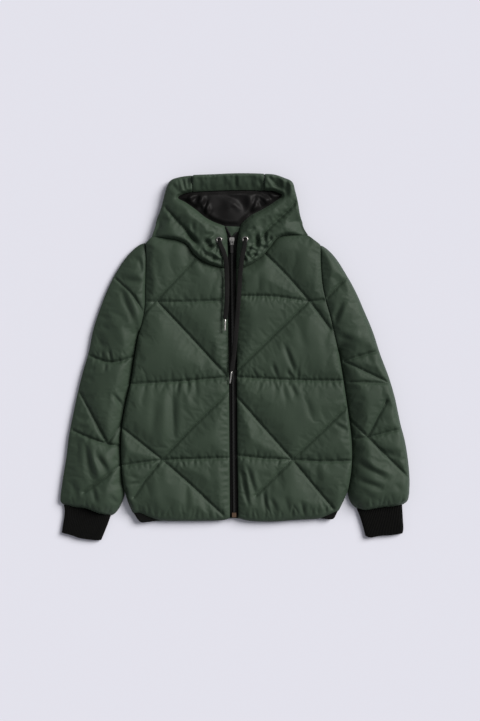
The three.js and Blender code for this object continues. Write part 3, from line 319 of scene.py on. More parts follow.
def evenly(points, step=None, count=None):
    """Even points along a polyline."""
    lengths = np.linalg.norm(np.diff(points, axis=0), axis=1)
    along = np.concatenate([[0], np.cumsum(lengths)])
    if count is None:
        count = max(1, round(along[-1] / step))
    even = np.linspace(0, along[-1], count + 1)
    columns = [np.interp(even, along, points[:, i]) for i in range(points.shape[1])]
    return np.column_stack(columns)


def run(rows, count):
    """A smooth curve through rows as a number of even steps."""
    return evenly(curve(rows, 1), count=count)


def beside(points, distance):
    """A run of flat points moved to the left of its own direction."""
    way = np.vstack([points[1:2] - points[:1], points[2:] - points[:-2], points[-1:] - points[-2:-1]])
    return points + unit(np.column_stack([-way[:, 1], way[:, 0]])) * distance


def shrink(loop, distance):
    """A closed run of flat points moved inwards; very sharp corners move less."""
    before, after = np.roll(loop, 1, axis=0), np.roll(loop, -1, axis=0)
    first = unit(np.column_stack([before[:, 1] - loop[:, 1], loop[:, 0] - before[:, 0]]))
    second = unit(np.column_stack([loop[:, 1] - after[:, 1], after[:, 0] - loop[:, 0]]))
    middle = unit(first + second)
    reach = distance / np.maximum(LEAST_OPENING, np.sum(middle * first, axis=1))
    return loop + middle * reach[:, None]


BATCH = 1200


def batches(points):
    """Few points at a time keep the memory low."""
    return np.array_split(points, max(1, len(points) // BATCH))


def nearest(points, a, b):
    """For each point, the distance to the nearest of the segments."""
    way = b - a
    length = np.maximum(np.sum(way * way, axis=1), 1e-9)
    found = []
    for part in batches(points):
        away = part[:, None] - a[None]
        share = np.clip(np.sum(away * way, axis=2) / length, 0, 1)
        found.append(np.linalg.norm(away - share[..., None] * way, axis=2).min(axis=1))
    return np.concatenate(found)


def beside_line(points, a, b):
    """For each point: its distance from one segment, and its share along it."""
    away, way = points - a, b - a
    share = np.clip(away @ way / max(way @ way, 1e-9), 0, 1)
    return np.linalg.norm(away - share[:, None] * way, axis=1), share


def is_inside(points, loop):
    ax, ay = loop[:, 0], loop[:, 1]
    bx, by = np.roll(ax, 1), np.roll(ay, 1)
    rise = np.where(by == ay, 1e-9, by - ay)
    found = []
    for part in batches(points):
        x, y = part[:, 0:1], part[:, 1:2]
        cross = (bx - ax) * (y - ay) / rise + ax
        found.append(np.sum(((ay > y) != (by > y)) & (x < cross), axis=1) % 2 == 1)
    return np.concatenate(found)


# Edge kinds: height of the outer side at the edge, the padding's reach from it,
# how steeply it starts (a half is upright), how far the edge stands off the
# surface below, and how far its wall bulges
EDGES = {
    "seam": (19, 46, 0.85, 0, 0),
    "shallow": (26, 40, 0.9, 0, 0),
    "side": (6, 64, 0.8, 3, 0),
    "flank": (22, 36, 0.5, 0, 1.2),
    "outer": (14, 36, 0.45, 4, 1.6),
    "slope": (11, 175, 0.9, 5, 1.6),
    "hem": (16, 70, 0.6, 3, 1.2),
    "zip": (18, 56, 0.7, 0, 0),
    "neck": (18, 46, 0.7, 0, 0),
    "collar": (26, 20, 0.5, 0, 1.0),
    "panel": (33, 20, 0.8, 0, 0),
    "mouth": (21, 34, 0.5, 0, 1.2),
    "brim": (18, 64, 0.9, 0, 1.2),
    "fold": (30, 13, 0.5, 8, 1.8),
    "bend": (17, 95, 0.85, 8, 1.8),
    "cuff": (14, 44, 0.5, 0, 0),
}
QUILT_STEEP = 0.8


def dip(distance, reach, steep):
    """Share of a dip that is left at a distance from its bottom."""
    share = np.clip(distance / reach, 0, 1)
    return 1 - (1 - (1 - share) ** 2) ** steep


def outline_of(stretches, inset=SEAM_INSET):
    """One closed outline of the stretches, with the kind of edge that starts at each point."""
    points = np.vstack([part[:-1] for _, part in stretches])
    kinds = np.array([kind for kind, part in stretches for _ in part[:-1]])
    return shrink(points, inset), kinds


def edge_distances(points, outline):
    """For each point, the distance to the nearest edge of every kind."""
    loop, kinds = outline
    after = np.roll(loop, -1, axis=0)
    return {kind: nearest(points, loop[kinds == kind], after[kinds == kind]) for kind in set(kinds)}


# Form of each fold, as shares of its width or height
FOLD_BEND = 0.12
FOLD_WAVES = 5
ROLL_HEIGHT = 0.35
ROLL_PLACE = 1.7
ROLL_WIDTH = 1.1
ROLL_START = 0.5
TAPER_END = 0.02
BORDER_REACH = 10


def fold_heights(points, folds, border):
    """Each fold is a soft trough or ridge that tapers to its ends, with a lower
    roll of the other sense along one side."""
    total = np.zeros(len(points))
    for x1, y1, x2, y2, width, height in folds:
        a, b = np.array([x1, y1], float), np.array([x2, y2], float)
        distance, share = beside_line(points, a, b)
        way = unit(b - a)
        side = (points[:, 0] - x1) * -way[1] + (points[:, 1] - y1) * way[0]
        bent = side + FOLD_BEND * width * np.sin(share * FOLD_WAVES + x1)
        distance = np.where(np.abs(side) >= distance - 1e-6, np.abs(bent), distance)
        taper = np.sqrt(np.sin(math.pi * np.clip(share, TAPER_END, 1 - TAPER_END)))
        roll = -ROLL_HEIGHT * np.exp(-(((bent - ROLL_PLACE * width) / (ROLL_WIDTH * width)) ** 2))
        roll *= np.abs(side) >= distance - ROLL_START * width
        total += height * taper * (np.exp(-((distance / width) ** 2)) + roll)
    return total * np.clip(border / BORDER_REACH, 0, 1)


def upper_heights(points, outline, lines, depths, folds, crown):
    """Height of a padded outer side: its crown less the dips to every edge and line,
    and the part of it that is creases."""
    near = edge_distances(points, outline)
    border = np.min(list(near.values()), axis=0)
    total = np.zeros(len(points))
    groove = np.zeros(len(points))
    for kind, distance in near.items():
        top, reach, steep = EDGES[kind][:3]
        total += ((crown - top) * dip(distance, reach, steep)) ** BLEND
    for line, depth in zip(lines, depths):
        distance = nearest(points, line[:-1], line[1:])
        total += ((crown - depth) * dip(distance, QUILT_REACH, QUILT_STEEP)) ** BLEND
        groove = np.maximum(groove, STITCH_SINK * np.exp(-((distance / STITCH_WIDTH) ** 2)))
    creases = fold_heights(points, folds, border) - groove
    return crown - total ** (1 / BLEND) + creases, creases


def resting_heights(points, outline):
    """Height of an underside: flat on the surface, and lifted towards its edges."""
    near = edge_distances(points, outline)
    height = np.zeros(len(points))
    for kind, distance in near.items():
        under = EDGES[kind][3]
        height = np.maximum(height, under * dip(distance, UNDER_ROUND, UNDER_STEEP))
    return height


# Room round outlines and lines, and the scatter of the points between, in steps
EDGE_ROOM = 0.6
LINE_ROOM = 0.55
SCATTER = 0.16
WELD = 1e-4


def triangulate(outline, lines, step):
    """Triangles over the inside of an outline, with edges along every line.
    Returns flat points (the outline's first), triangles and the points on lines."""
    loop, _ = outline
    after = np.roll(loop, -1, axis=0)
    kept = []
    for line in lines:
        kept.append(line[is_inside(line, loop) & (nearest(line, loop, after) > EDGE_ROOM * step)])
    kept = [line for line in kept if len(line) > 1]
    low, high = loop.min(axis=0), loop.max(axis=0)
    ys = np.arange(low[1], high[1], step * math.sqrt(3) / 2)
    xs = np.arange(low[0], high[0], step)
    grid = np.array([(x + step / 2 * (row % 2), y) for row, y in enumerate(ys) for x in xs])
    grid += np.random.default_rng(SEED).uniform(-SCATTER, SCATTER, grid.shape) * step
    grid = grid[is_inside(grid, loop)]
    grid = grid[nearest(grid, loop, after) > EDGE_ROOM * step]
    for line in kept:
        grid = grid[nearest(grid, line[:-1], line[1:]) > LINE_ROOM * step]
    points = np.vstack([loop, *kept, grid])
    edges = []
    start = len(loop)
    for line in kept:
        edges += [(start + i, start + i + 1) for i in range(len(line) - 1)]
        start += len(line)
    vectors = [Vector(point) for point in points]
    found = delaunay_2d_cdt(vectors, edges, [list(range(len(loop)))], 1, WELD)
    places, _, faces, origins = found[:4]
    flat = np.array([place[:] for place in places])
    first = {}
    for index, origin in enumerate(origins):
        for one in origin:
            first[one] = index
    order = [first[i] for i in range(len(loop))]
    rest = sorted(set(range(len(flat))) - set(order))
    rank = {old: new for new, old in enumerate(order + rest)}
    triangles = [[rank[i] for i in face] for face in faces]
    grid_from = len(loop) + sum(len(line) for line in kept)
    on_line = np.zeros(len(flat), bool)
    for index, origin in enumerate(origins):
        on_line[rank[index]] = not origin or min(origin) < grid_from
    flat = flat[order + rest]
    if len(order) != len(set(order)):
        raise ValueError("an outline has two points in one place")
    corners = flat[np.array(triangles)]
    turn = np.cross(corners[:, 1] - corners[:, 0], corners[:, 2] - corners[:, 0])
    triangles = [t if up > 0 else t[::-1] for t, up in zip(triangles, turn)]
    return flat, triangles, on_line


def join_rings(before, ring):
    """Faces between two closed rows of points."""
    count = len(ring)
    return [(before[i], ring[i], ring[(i + 1) % count], before[(i + 1) % count]) for i in range(count)]


def block_faces(start, sides, rows):
    """Faces of a small closed block whose vertices are rings from its foot to its head."""
    faces = []
    for row in range(start, start + sides * (rows - 1), sides):
        for i in range(sides):
            j = (i + 1) % sides
            faces.append([row + i, row + j, row + sides + j, row + sides + i])
    faces.append([start + i for i in reversed(range(sides))])
    faces.append([start + sides * (rows - 1) + i for i in range(sides)])
    return faces


def slab(outline, step, upper, lower):
    """A closed layer whose two sides have the same flat points."""
    flat, triangles, _ = triangulate(outline, [], step)
    vertices = np.vstack([np.column_stack([flat, side(flat)]) for side in (upper, lower)])
    total = len(flat)
    edge = range(len(outline[0]))
    faces = [list(triangle) for triangle in triangles]
    faces += [[total + i for i in triangle[::-1]] for triangle in triangles]
    faces += join_rings(edge, [total + i for i in edge])
    return vertices, faces


def level(height):
    """A side at one height, as slab and strip_sheet ask for it."""
    def at(flat):
        return np.full(len(flat), float(height))

    return at


def new_object(name, vertices, faces, material, smooth=True):
    mesh = bpy.data.meshes.new(name)
    mesh.from_pydata([tuple(v) for v in np.asarray(vertices) * MM], [], faces)
    shape = bmesh.new()
    shape.from_mesh(mesh)
    if all(edge.is_manifold for edge in shape.edges):
        bmesh.ops.recalc_face_normals(shape, faces=shape.faces)
        shape.to_mesh(mesh)
    shape.free()
    mesh.polygons.foreach_set("use_smooth", [smooth] * len(mesh.polygons))
    mesh.materials.append(material)
    obj = bpy.data.objects.new(name, mesh)
    bpy.context.scene.collection.objects.link(obj)
    return obj


# Free ends of the drawcord, from the eyelets down, as in the solids: each is
# narrow in its eyelet, opens out below it, and wavers and twists a little
CORD_WIDTH = 11
CORD_THICKNESS = 2.8
CORD_STEP = 3
CORD_START = 0.66
CORD_OPENS_OVER = 40
CORD_WAVER = 0.035
CORD_WAVER_STEP = 0.9
CORD_TWIST = 0.10
CORD_TWIST_STEP = 0.21
CORD_SIDES = 16
CORD_SQUARE = 0.8
TIP_RADIUS = 2.2
TIP_SIDES = 20
CORD_RIGHT = [
    (-38, 280, 37), (-35, 269, 37), (-28, 253, 37), (-22, 233, 36), (-20, 205, 34),
    (-19, 161, 34), (-20, 125, 34), (-23, 91, 34),
]
TIP_RIGHT = (-24, 62, 34)
CORD_LEFT = [
    (24, 281, 38.5), (23, 267, 38.5), (18, 243, 37), (14, 214, 34), (10, 161, 34),
    (6, 101, 33), (1, 41, 31), (-4, -7, 29), (-8, -34, 27),
]
TIP_LEFT = (-12, -63, 25)

# Profile of a tip: distance from its head, or back from its tail, and share of its radius
TIP_HEAD = [(0.3, 0.7), (0.35, 0.98), (1.6, 1.04), (2.2, 0.9), (3.0, 0.9), (3.6, 1.02), (6.0, 1.0)]
TIP_TAIL = [(5.0, 1.0), (2.0, 0.98), (0.8, 0.85), (0.2, 0.5), (0, 0.15)]


def dress(obj, node):
    """A piece of the garment that is seen in place of its solid."""
    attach(obj, "garment")
    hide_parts(node)


def tube(name, rings, material, closed=True):
    """A skin over rings of points, with its two ends closed by small fans."""
    count = len(rings[0])
    vertices = np.vstack(rings)
    faces = []
    for row in range(len(rings) - 1):
        for i in range(count):
            a, b = row * count + i, row * count + (i + 1) % count
            faces.append((a, b, b + count, a + count))
    if closed:
        vertices = np.vstack([vertices, rings[0].mean(axis=0), rings[-1].mean(axis=0)])
        last = (len(rings) - 1) * count
        head, tail = len(vertices) - 2, len(vertices) - 1
        for i in range(count):
            faces.append((head, (i + 1) % count, i))
            faces.append((tail, last + i, last + (i + 1) % count))
    return new_object(name, vertices, faces, material)


def ring_at(centre, way, width, height, sides=CORD_SIDES, twist=0.0, power=CORD_SQUARE):
    """A flattened ring round a path, level across it unless it is twisted."""
    across = unit(np.cross(way, (0, 0, 1)))
    up = np.cross(across, way)
    across, up = (
        across * math.cos(twist) + up * math.sin(twist),
        up * math.cos(twist) - across * math.sin(twist),
    )
    points = []
    for i in range(sides):
        turn = 2 * math.pi * i / sides
        c, s = math.cos(turn), math.sin(turn)
        x = math.copysign(abs(c) ** power, c) * width / 2
        y = math.copysign(abs(s) ** power, s) * height / 2
        points.append(centre + across * x + up * y)
    return np.array(points)


def make_drawcord(side, route, tip_end):
    path = curve(route, CORD_STEP)
    ways = unit(np.gradient(path, axis=0))
    rings = []
    for i, (centre, way) in enumerate(zip(path, ways)):
        opening = min(1.0, CORD_START + i * CORD_STEP / CORD_OPENS_OVER)
        waver = 1 + CORD_WAVER * math.sin(i * CORD_WAVER_STEP + route[0][0])
        twist = CORD_TWIST * math.sin(i * CORD_TWIST_STEP + route[0][0])
        width = CORD_WIDTH * opening * waver
        rings.append(ring_at(centre, way, width, CORD_THICKNESS / opening**0.5, twist=twist))
    cord = tube(f"drawcord_{side}_braid", rings, CORD)
    start, end = path[-1], np.array(tip_end, float)
    way = unit(end - start)
    reach = np.linalg.norm(end - start)
    profile = [*TIP_HEAD, (reach * 0.5, 1.0), *((reach - back, size) for back, size in TIP_TAIL)]
    circles = []
    for at, size in profile:
        width = 2 * TIP_RADIUS * size
        circles.append(ring_at(start + way * at, way, width, width, TIP_SIDES, power=1))
    tip = tube(f"drawcord_{side}_tip", circles, SILVER)
    dress(cord, f"drawcord_{side}")
    dress(tip, f"cord_tip_{side}")


# Outlines, as in the solids
ARMHOLE_RIGHT = [(-214, 274), (-213, 238), (-214, 197), (-215, 164), (-217, 111), (-230, 56)]
SIDE_RIGHT = [
    (-230, 56), (-240, -4), (-249, -62), (-259, -103), (-270, -170), (-272, -215), (-270, -273),
    (-265, -316),
]
FRONT_CORNER_RIGHT = [(-265, -316), (-255, -348), (-244, -373)]
BACK_CORNER_RIGHT = [(-265, -316), (-255, -348), (-241, -377), (-233, -390), (-226, -396)]
FRONT_HEM_RIGHT = [
    (-244, -373), (-228, -372), (-211, -380), (-192, -387), (-175, -391), (-120, -392), (-48, -391),
    (-24, -389), (-12, -385),
]
BACK_HEM_RIGHT = [(-226, -396), (-204, -395), (-175, -394), (-120, -393), (-48, -391), (-2, -387)]
ZIP_RIGHT = [(-12, -385), (-13, -247), (-14, -103), (-16, 41), (-17, 137), (-17, 214)]
NECK_RIGHT = [
    (-17, 214), (-41, 218), (-77, 232), (-98, 248), (-115, 271), (-132, 280), (-168, 287), (-200, 289),
]
SHOULDER_RIGHT = [(-200, 289), (-214, 274)]
ARMHOLE_LEFT = [(205, 269), (206, 221), (210, 173), (218, 135), (230, 92), (247, 15)]
SIDE_LEFT = [(247, 15), (258, -50), (270, -131), (279, -208), (278, -268), (270, -319)]
FRONT_CORNER_LEFT = [(270, -319), (259, -344), (248, -367)]
BACK_CORNER_LEFT = [(270, -319), (255, -351), (244, -375), (236, -388)]
FRONT_HEM_LEFT = [
    (248, -367), (240, -370), (218, -380), (202, -386), (173, -388), (137, -390), (101, -393),
    (50, -393), (26, -390), (8, -385),
]
BACK_HEM_LEFT = [(236, -388), (204, -388), (156, -390), (101, -393), (50, -393), (-2, -387)]
ZIP_LEFT = [(8, -385), (6, -247), (5, -103), (4, 41), (3, 137), (3, 214)]
NECK_LEFT = [
    (3, 214), (19, 216), (41, 226), (65, 243), (84, 265), (98, 283), (115, 292), (144, 294), (176, 292),
]
SHOULDER_LEFT = [(176, 292), (205, 269)]
SLEEVE_OUT_RIGHT = [
    (-214, 274), (-230, 268), (-257, 243), (-286, 200), (-307, 157), (-324, 113), (-340, 63),
    (-350, 13), (-365, -38), (-377, -88), (-388, -139), (-398, -191), (-404, -242), (-412, -290),
    (-418, -333),
]
SLEEVE_CORNER_RIGHT = [(-418, -333), (-418, -345), (-412, -354)]
SLEEVE_END_RIGHT = [(-412, -354), (-384, -360), (-358, -363), (-329, -374), (-298, -380)]
SLEEVE_IN_RIGHT = [
    (-298, -380), (-289, -376), (-278, -362), (-271, -347), (-266, -333), (-265, -316),
]
SLEEVE_OUT_LEFT = [
    (205, 269), (221, 258), (240, 238), (264, 201), (288, 158), (307, 115), (329, 63), (348, 5),
    (367, -45), (382, -95), (396, -160), (407, -203), (415, -254), (418, -297), (417, -328),
]
SLEEVE_CORNER_LEFT = [(417, -328), (413, -344), (402, -353)]
SLEEVE_END_LEFT = [(402, -353), (385, -357), (355, -360), (331, -364), (314, -367), (292, -363)]
SLEEVE_IN_LEFT = [(292, -363), (282, -355), (276, -345), (272, -333), (270, -319)]
CUFF_HEM_RIGHT = [(-417, -421), (-391, -428), (-374, -434), (-336, -439), (-321, -439)]
CUFF_OUT_RIGHT = [(-412, -354), (-410, -372), (-417, -421)]
CUFF_IN_RIGHT = [(-298, -380), (-307, -405), (-321, -439)]
CUFF_HEM_LEFT = [(313, -429), (326, -433), (346, -429), (376, -427), (403, -423)]
CUFF_IN_LEFT = [(292, -363), (301, -386), (309, -413), (313, -429)]
CUFF_OUT_LEFT = [(402, -353), (404, -388), (405, -414), (403, -423)]
HOOD_OUT_RIGHT = [
    (-102, 435), (-132, 431), (-154, 423), (-164, 404), (-169, 385), (-176, 358), (-185, 334),
    (-190, 318),
]
HOOD_FLAP_RIGHT = [(-190, 318), (-194, 305), (-200, 289)]
HOOD_OUT_LEFT = [
    (161, 322), (155, 339), (149, 373), (143, 397), (136, 419), (118, 428), (94, 436), (70, 438),
]
HOOD_FLAP_LEFT = [(176, 292), (166, 308), (161, 322)]
HOOD_TOP = [(70, 438), (41, 439), (0, 439), (-48, 437), (-102, 435)]
MOUTH_RIGHT = [
    (-25, 314), (-50, 323), (-72, 335), (-94, 353), (-118, 370), (-138, 382), (-127, 391), (-102, 397),
]
MOUTH_TOP = [(-102, 397), (-67, 399), (-12, 401), (36, 401), (70, 400)]
MOUTH_LEFT = [
    (70, 400), (96, 398), (114, 388), (94, 371), (65, 353), (38, 339), (18, 321), (12, 313),
]
HOOD_ZIP_RIGHT = [(-17, 214), (-17, 257), (-19, 291), (-25, 314)]
HOOD_ZIP_LEFT = [(12, 313), (7, 286), (4, 257), (3, 214)]
HOOD_SEAM_RIGHT = [(-102, 397), (-102, 435)]
HOOD_SEAM_LEFT = [(70, 438), (70, 400)]

# Stitched quilting lines: the height that each is sewn down to, and its points
QUILT_FRONT_RIGHT = [
    (27, [(-213, 134), (-120, 133), (-16, 137)]),
    (22, [(-248, -64), (-130, -57), (-14, -47)]),
    (22, [(-271, -259), (-175, -246), (-90, -243), (-13, -241)]),
    (26.5, [(-98, 231), (-152, 174), (-218, 104)]),
    (22, [(-185, 133), (-98, 40), (-14, -52)]),
    (23, [(-14, -83), (-100, -166), (-175, -245)]),
    (22, [(-269, -170), (-224, -206), (-175, -245)]),
    (22, [(-175, -245), (-104, -307), (-31, -376)]),
    (24, [(-175, -245), (-212, -291), (-242, -335)]),
]
QUILT_FRONT_LEFT = [
    (25, [(4, 147), (90, 146), (178, 135), (212, 137)]),
    (22, [(4, -47), (130, -54), (259, -56)]),
    (22, [(5, -235), (70, -242), (137, -245), (205, -249), (278, -248)]),
    (23, [(65, 255), (122, 198), (178, 135)]),
    (23, [(178, 135), (204, 101), (228, 68)]),
    (23, [(178, 135), (92, 52), (2, -35)]),
    (22, [(5, -95), (72, -172), (137, -245)]),
    (23, [(266, -122), (204, -182), (137, -245)]),
    (22, [(137, -245), (186, -304), (235, -362)]),
    (23, [(137, -245), (92, -290), (50, -331)]),
]
QUILT_SLEEVE_RIGHT = [
    (27, [(-286, 188), (-248, 152), (-218, 106)]),
    (24, [(-348, 4), (-305, -11), (-270, -8), (-240, 4)]),
    (25, [(-372, -86), (-342, -140), (-305, -208)]),
    (24, [(-389, -175), (-350, -192), (-305, -208), (-272, -213)]),
    (26, [(-305, -208), (-284, -176), (-266, -148)]),
    (27, [(-271, -254), (-315, -290), (-362, -323)]),
]
QUILT_SLEEVE_LEFT = [
    (29, [(274, 195), (248, 172), (221, 142)]),
    (28, [(262, -8), (302, 4), (346, 16)]),
    (29, [(262, -10), (312, -34), (365, -59)]),
    (30, [(276, -59), (320, -60), (368, -62)]),
    (30, [(362, -105), (338, -150), (317, -191)]),
    (29, [(288, -194), (317, -191), (360, -180), (404, -170)]),
    (31, [(317, -191), (292, -166), (272, -146)]),
    (30, [(317, -191), (366, -240), (415, -288)]),
]
TUNNEL_RIGHT = [
    (27, [(-166, 358), (-139, 327), (-118, 305), (-94, 278)]),
]
TUNNEL_LEFT = [
    (28, [(146, 373), (127, 351), (84, 311), (62, 284), (50, 272)]),
]

# Folds: from, to, width and height, with troughs below zero
FOLDS_FRONT_RIGHT = [
    (-168, -74, -173, -218, 11, 3), (-144, -67, -151, -199, 9, -3.5), (-118, -60, -112, -120, 8, 2.5),
    (-192, -100, -198, -190, 12, -2), (-200, 262, -196, 150, 10, 2.5), (-134, -54, -138, -84, 4, -3),
    (-115, -52, -113, -88, 5, -4), (-168, -60, -176, -82, 4, -2), (-96, -56, -90, -92, 6, -2),
    (-254, -284, -224, -292, 6, -3), (-250, -304, -226, -299, 5, -3), (-40, 205, -60, 150, 9, -2),
    (-118, 262, -108, 190, 13, -2), (-160, 270, -150, 200, 14, -2), (-196, 128, -190, 60, 10, -2),
    (-216, -70, -222, -120, 9, -2), (-56, -262, -50, -330, 12, -2), (-196, -290, -176, -370, 12, 2),
    (-120, -300, -116, -372, 11, -2.5), (-76, -330, -60, -380, 8, -2.5), (-60, 40, -74, -30, 11, -1.5),
]
FOLDS_FRONT_LEFT = [
    (120, 28, 144, -44, 6, -4.5), (90, -16, 98, -44, 5, -4), (126, -30, 134, -50, 5, -4),
    (43, -30, 53, -49, 4, -3), (30, -34, 36, -47, 4, -2.5), (150, -22, 152, -48, 4, -2.5),
    (132, -60, 146, -96, 6, -3.5), (95, -58, 99, -82, 5, -3), (112, -62, 124, -104, 7, -2.5),
    (167, -100, 185, -146, 9, -2.5), (60, -58, 58, -80, 4, -2), (9, -258, 33, -348, 6, -5),
    (29, -262, 48, -326, 6, -4.5), (69, -322, 74, -368, 5, -5), (84, -336, 100, -370, 6, -3.5),
    (18, -300, 32, -358, 5, -3), (240, -160, 270, -176, 5, -3.5), (100, -250, 104, -300, 8, -2),
    (196, 250, 192, 160, 10, 2.5), (150, 262, 140, 196, 14, -2), (60, 205, 50, 150, 9, -2),
    (150, 100, 166, 20, 12, -2), (210, 60, 226, -30, 11, -2), (186, -262, 208, -300, 10, -2.5),
    (120, -330, 132, -384, 9, -3), (160, -340, 164, -384, 8, -2.5), (40, -130, 60, -190, 11, -1.5),
]
FOLDS_SLEEVE_RIGHT = [
    (-276, 173, -233, 61, 9, -5.5), (-274, 186, -222, 178, 9, -4), (-230, 236, -222, 200, 6, -4),
    (-360, -203, -340, -297, 9, -5.5), (-331, -233, -302, -280, 8, -5), (-345, -214, -322, -290, 7, 3),
    (-300, 110, -262, 30, 12, 3), (-288, -90, -270, -120, 5, -6), (-342, -312, -330, -346, 6, -3.5),
    (-300, 16, -297, -14, 4, -3.5), (-318, 12, -316, -12, 4, -2.5), (-311, -14, -309, -36, 4, -3),
    (-296, -330, -282, -352, 5, -3), (-380, -190, -372, -260, 10, -2.5), (-290, -240, -282, -250, 5, -3),
    (-330, 60, -312, 20, 10, -2.5), (-262, -290, -296, -310, 8, -3), (-388, -290, -380, -345, 9, -2.5),
]
FOLDS_SLEEVE_LEFT = [
    (254, 131, 237, 84, 7, -6), (252, 50, 280, 40, 8, -4), (296, -251, 361, -291, 8, -6.5),
    (296, -292, 354, -316, 7, -5), (340, -222, 396, -238, 8, -3.5), (300, 60, 262, 30, 12, 3),
    (320, -262, 372, -274, 9, 2.5), (404, -186, 414, -250, 5, -2.5), (300, -320, 344, -342, 8, -2.5),
    (268, -72, 300, -78, 8, -2), (280, -110, 300, -150, 10, -2), (352, -90, 372, -130, 8, -2),
    (240, 200, 262, 150, 10, -2), (380, -300, 402, -330, 9, -2.5), (270, -228, 300, -222, 8, -3),
]
FOLDS_HOOD_RIGHT = [
    (-72, 280, -56, 262, 6, -11), (-90, 262, -66, 252, 6, 4), (-103, 324, -98, 300, 5, -3.5),
    (-50, 228, -66, 250, 5, -4), (-128, 430, -118, 396, 4, -6), (-113, 431, -111, 401, 4, -5),
    (-150, 418, -130, 388, 6, -5.5), (-138, 427, -130, 396, 4, -4), (-152, 330, -128, 300, 9, -3),
    (-178, 340, -160, 320, 8, -2.5), (-120, 352, -96, 322, 10, 3), (-66, 318, -56, 296, 7, -2.5),
    (-80, 246, -40, 232, 5, -4), (-112, 296, -96, 276, 6, -5), (-84, 262, -64, 244, 4, -7),
    (-58, 246, -38, 230, 3.5, -7), (-46, 270, -66, 257, 4.5, -10), (-70, 290, -50, 296, 5, -5),
    (-122, 305, -86, 267, 6, -5), (-40, 270, -48, 250, 3.5, -7), (-48, 281, -70, 275, 3.5, -6),
    (-46, 244, -30, 236, 3, 4), (-104, 262, -86, 250, 4, 3), (-42, 300, -58, 312, 5, -3),
]
FOLDS_HOOD_LEFT = [
    (52, 294, 53, 260, 5, -11), (74, 300, 71, 272, 4, -7), (40, 270, 27, 246, 4, -7),
    (62, 294, 60, 276, 4, 4), (34, 259, 56, 252, 4, -7), (40, 246, 58, 240, 4, -6),
    (82, 290, 90, 272, 4, -5), (56, 264, 80, 262, 4, -6), (77, 437, 100, 404, 5, -9),
    (84, 404, 66, 430, 5, -4), (122, 424, 120, 394, 6, -10), (102, 434, 112, 397, 6, -12),
    (92, 434, 105, 402, 5, -9), (132, 410, 120, 384, 6, -6), (102, 352, 84, 330, 9, 3),
    (150, 330, 120, 306, 9, -2.5), (20, 262, 36, 232, 4, -5), (66, 330, 60, 306, 8, -2.5),
    (110, 300, 140, 300, 6, -2.5), (14, 252, 26, 226, 4, -8), (52, 250, 34, 232, 4, -8),
    (70, 256, 50, 236, 4, -8), (78, 268, 62, 250, 4, -6), (36, 300, 46, 312, 5, -5),
    (99, 292, 66, 266, 4, -6), (28, 268, 44, 262, 4, 4),
]
FOLDS_HOOD_TOP = [
    (1, 440, 2, 400, 4, -5), (56, 424, 71, 404, 5, -5), (-60, 438, -56, 400, 8, -2),
    (-82, 438, -84, 400, 6, -2), (34, 438, 40, 402, 8, -2.5), (-30, 430, -26, 404, 8, -1.5),
]
FOLDS_LINING = [
    (-98, 372, -60, 330, 7, -5), (-84, 394, -70, 350, 7, 6), (-112, 390, -96, 366, 6, 4),
    (-68, 376, -76, 342, 4, -8), (-20, 330, -10, 384, 16, 6), (49, 386, 31, 332, 5, -8),
    (-40, 396, 6, 378, 8, -4), (44, 345, 34, 392, 11, 8), (70, 366, 88, 386, 9, 6),
    (60, 396, 90, 378, 6, -5), (-6, 372, 14, 350, 7, 4), (2, 394, 30, 396, 6, 5),
    (-112, 380, -96, 393, 3.5, 5), (-104, 371, -87, 388, 3.5, -5), (-95, 362, -77, 381, 4, 6),
    (-86, 355, -69, 373, 3.5, -5), (-77, 347, -62, 364, 4, 5), (-67, 341, -55, 353, 3.5, -4),
    (76, 372, 62, 388, 4, 5), (88, 378, 76, 394, 3.5, -5), (66, 360, 54, 374, 4, -4),
]


# Short puckers that run off a seam: from, to, spacing, reach, height and sides,
# where 2 is both sides, 1 the left of its direction and -1 the right
PUCKERS_FRONT_RIGHT = [
    (-205, 134, -20, 137, 15, 10, 1.8, 2), (-246, -64, -20, -47, 15, 17, 2.4, 2),
    (-268, -258, -20, -241, 13, 13, 2.6, 2), (-236, -379, -20, -389, 11, 22, 2.6, 1),
    (-14, -376, -18, 206, 12, 13, 2.0, 1), (-215, 250, -217, 111, 20, 16, 2.0, -1),
    (-77, 232, -20, 214, 11, 10, 2.0, -1), (-262, -120, -266, -310, 24, 18, 2.0, -1),
]
PUCKERS_FRONT_LEFT = [
    (8, 147, 176, 136, 8, 8, 2.8, 2), (8, -47, 254, -56, 11, 15, 3.0, 2),
    (8, -235, 137, -245, 11, 12, 2.8, 2), (140, -245, 272, -248, 18, 12, 2.0, 2),
    (16, -388, 240, -372, 10, 24, 3.0, 1), (3, 206, 7, -376, 13, 13, 2.0, 1),
    (92, 272, 8, 214, 11, 10, 2.0, 1), (260, -60, 276, -240, 22, 18, 2.0, -1),
]
PUCKERS_SLEEVE_RIGHT = [
    (-346, 3, -245, 0, 12, 13, 2.2, 2), (-386, -176, -274, -213, 14, 11, 2.0, 2),
    (-410, -352, -300, -377, 10, 20, 2.2, 1), (-233, 250, -218, 111, 20, 14, 2.0, -1),
    (-300, 170, -396, -250, 30, 20, 2.0, 1),
]
PUCKERS_SLEEVE_LEFT = [
    (264, -8, 346, 15, 16, 10, 1.6, 2), (290, -194, 404, -171, 15, 11, 1.8, 2),
    (294, -361, 400, -352, 10, 20, 2.2, 1), (282, 170, 410, -250, 30, 20, 1.8, -1),
]
PUCKERS_HOOD_RIGHT = [
    (-164, 356, -96, 280, 12, 11, 2.4, 2), (-36, 319, -130, 380, 17, 13, 1.8, -1),
    (-98, 250, -30, 217, 10, 12, 2.6, 1),
]
PUCKERS_HOOD_LEFT = [
    (144, 371, 54, 276, 12, 11, 2.4, 2), (22, 325, 108, 384, 17, 13, 1.8, 1),
    (8, 215, 80, 262, 9, 13, 3.0, 1),
]
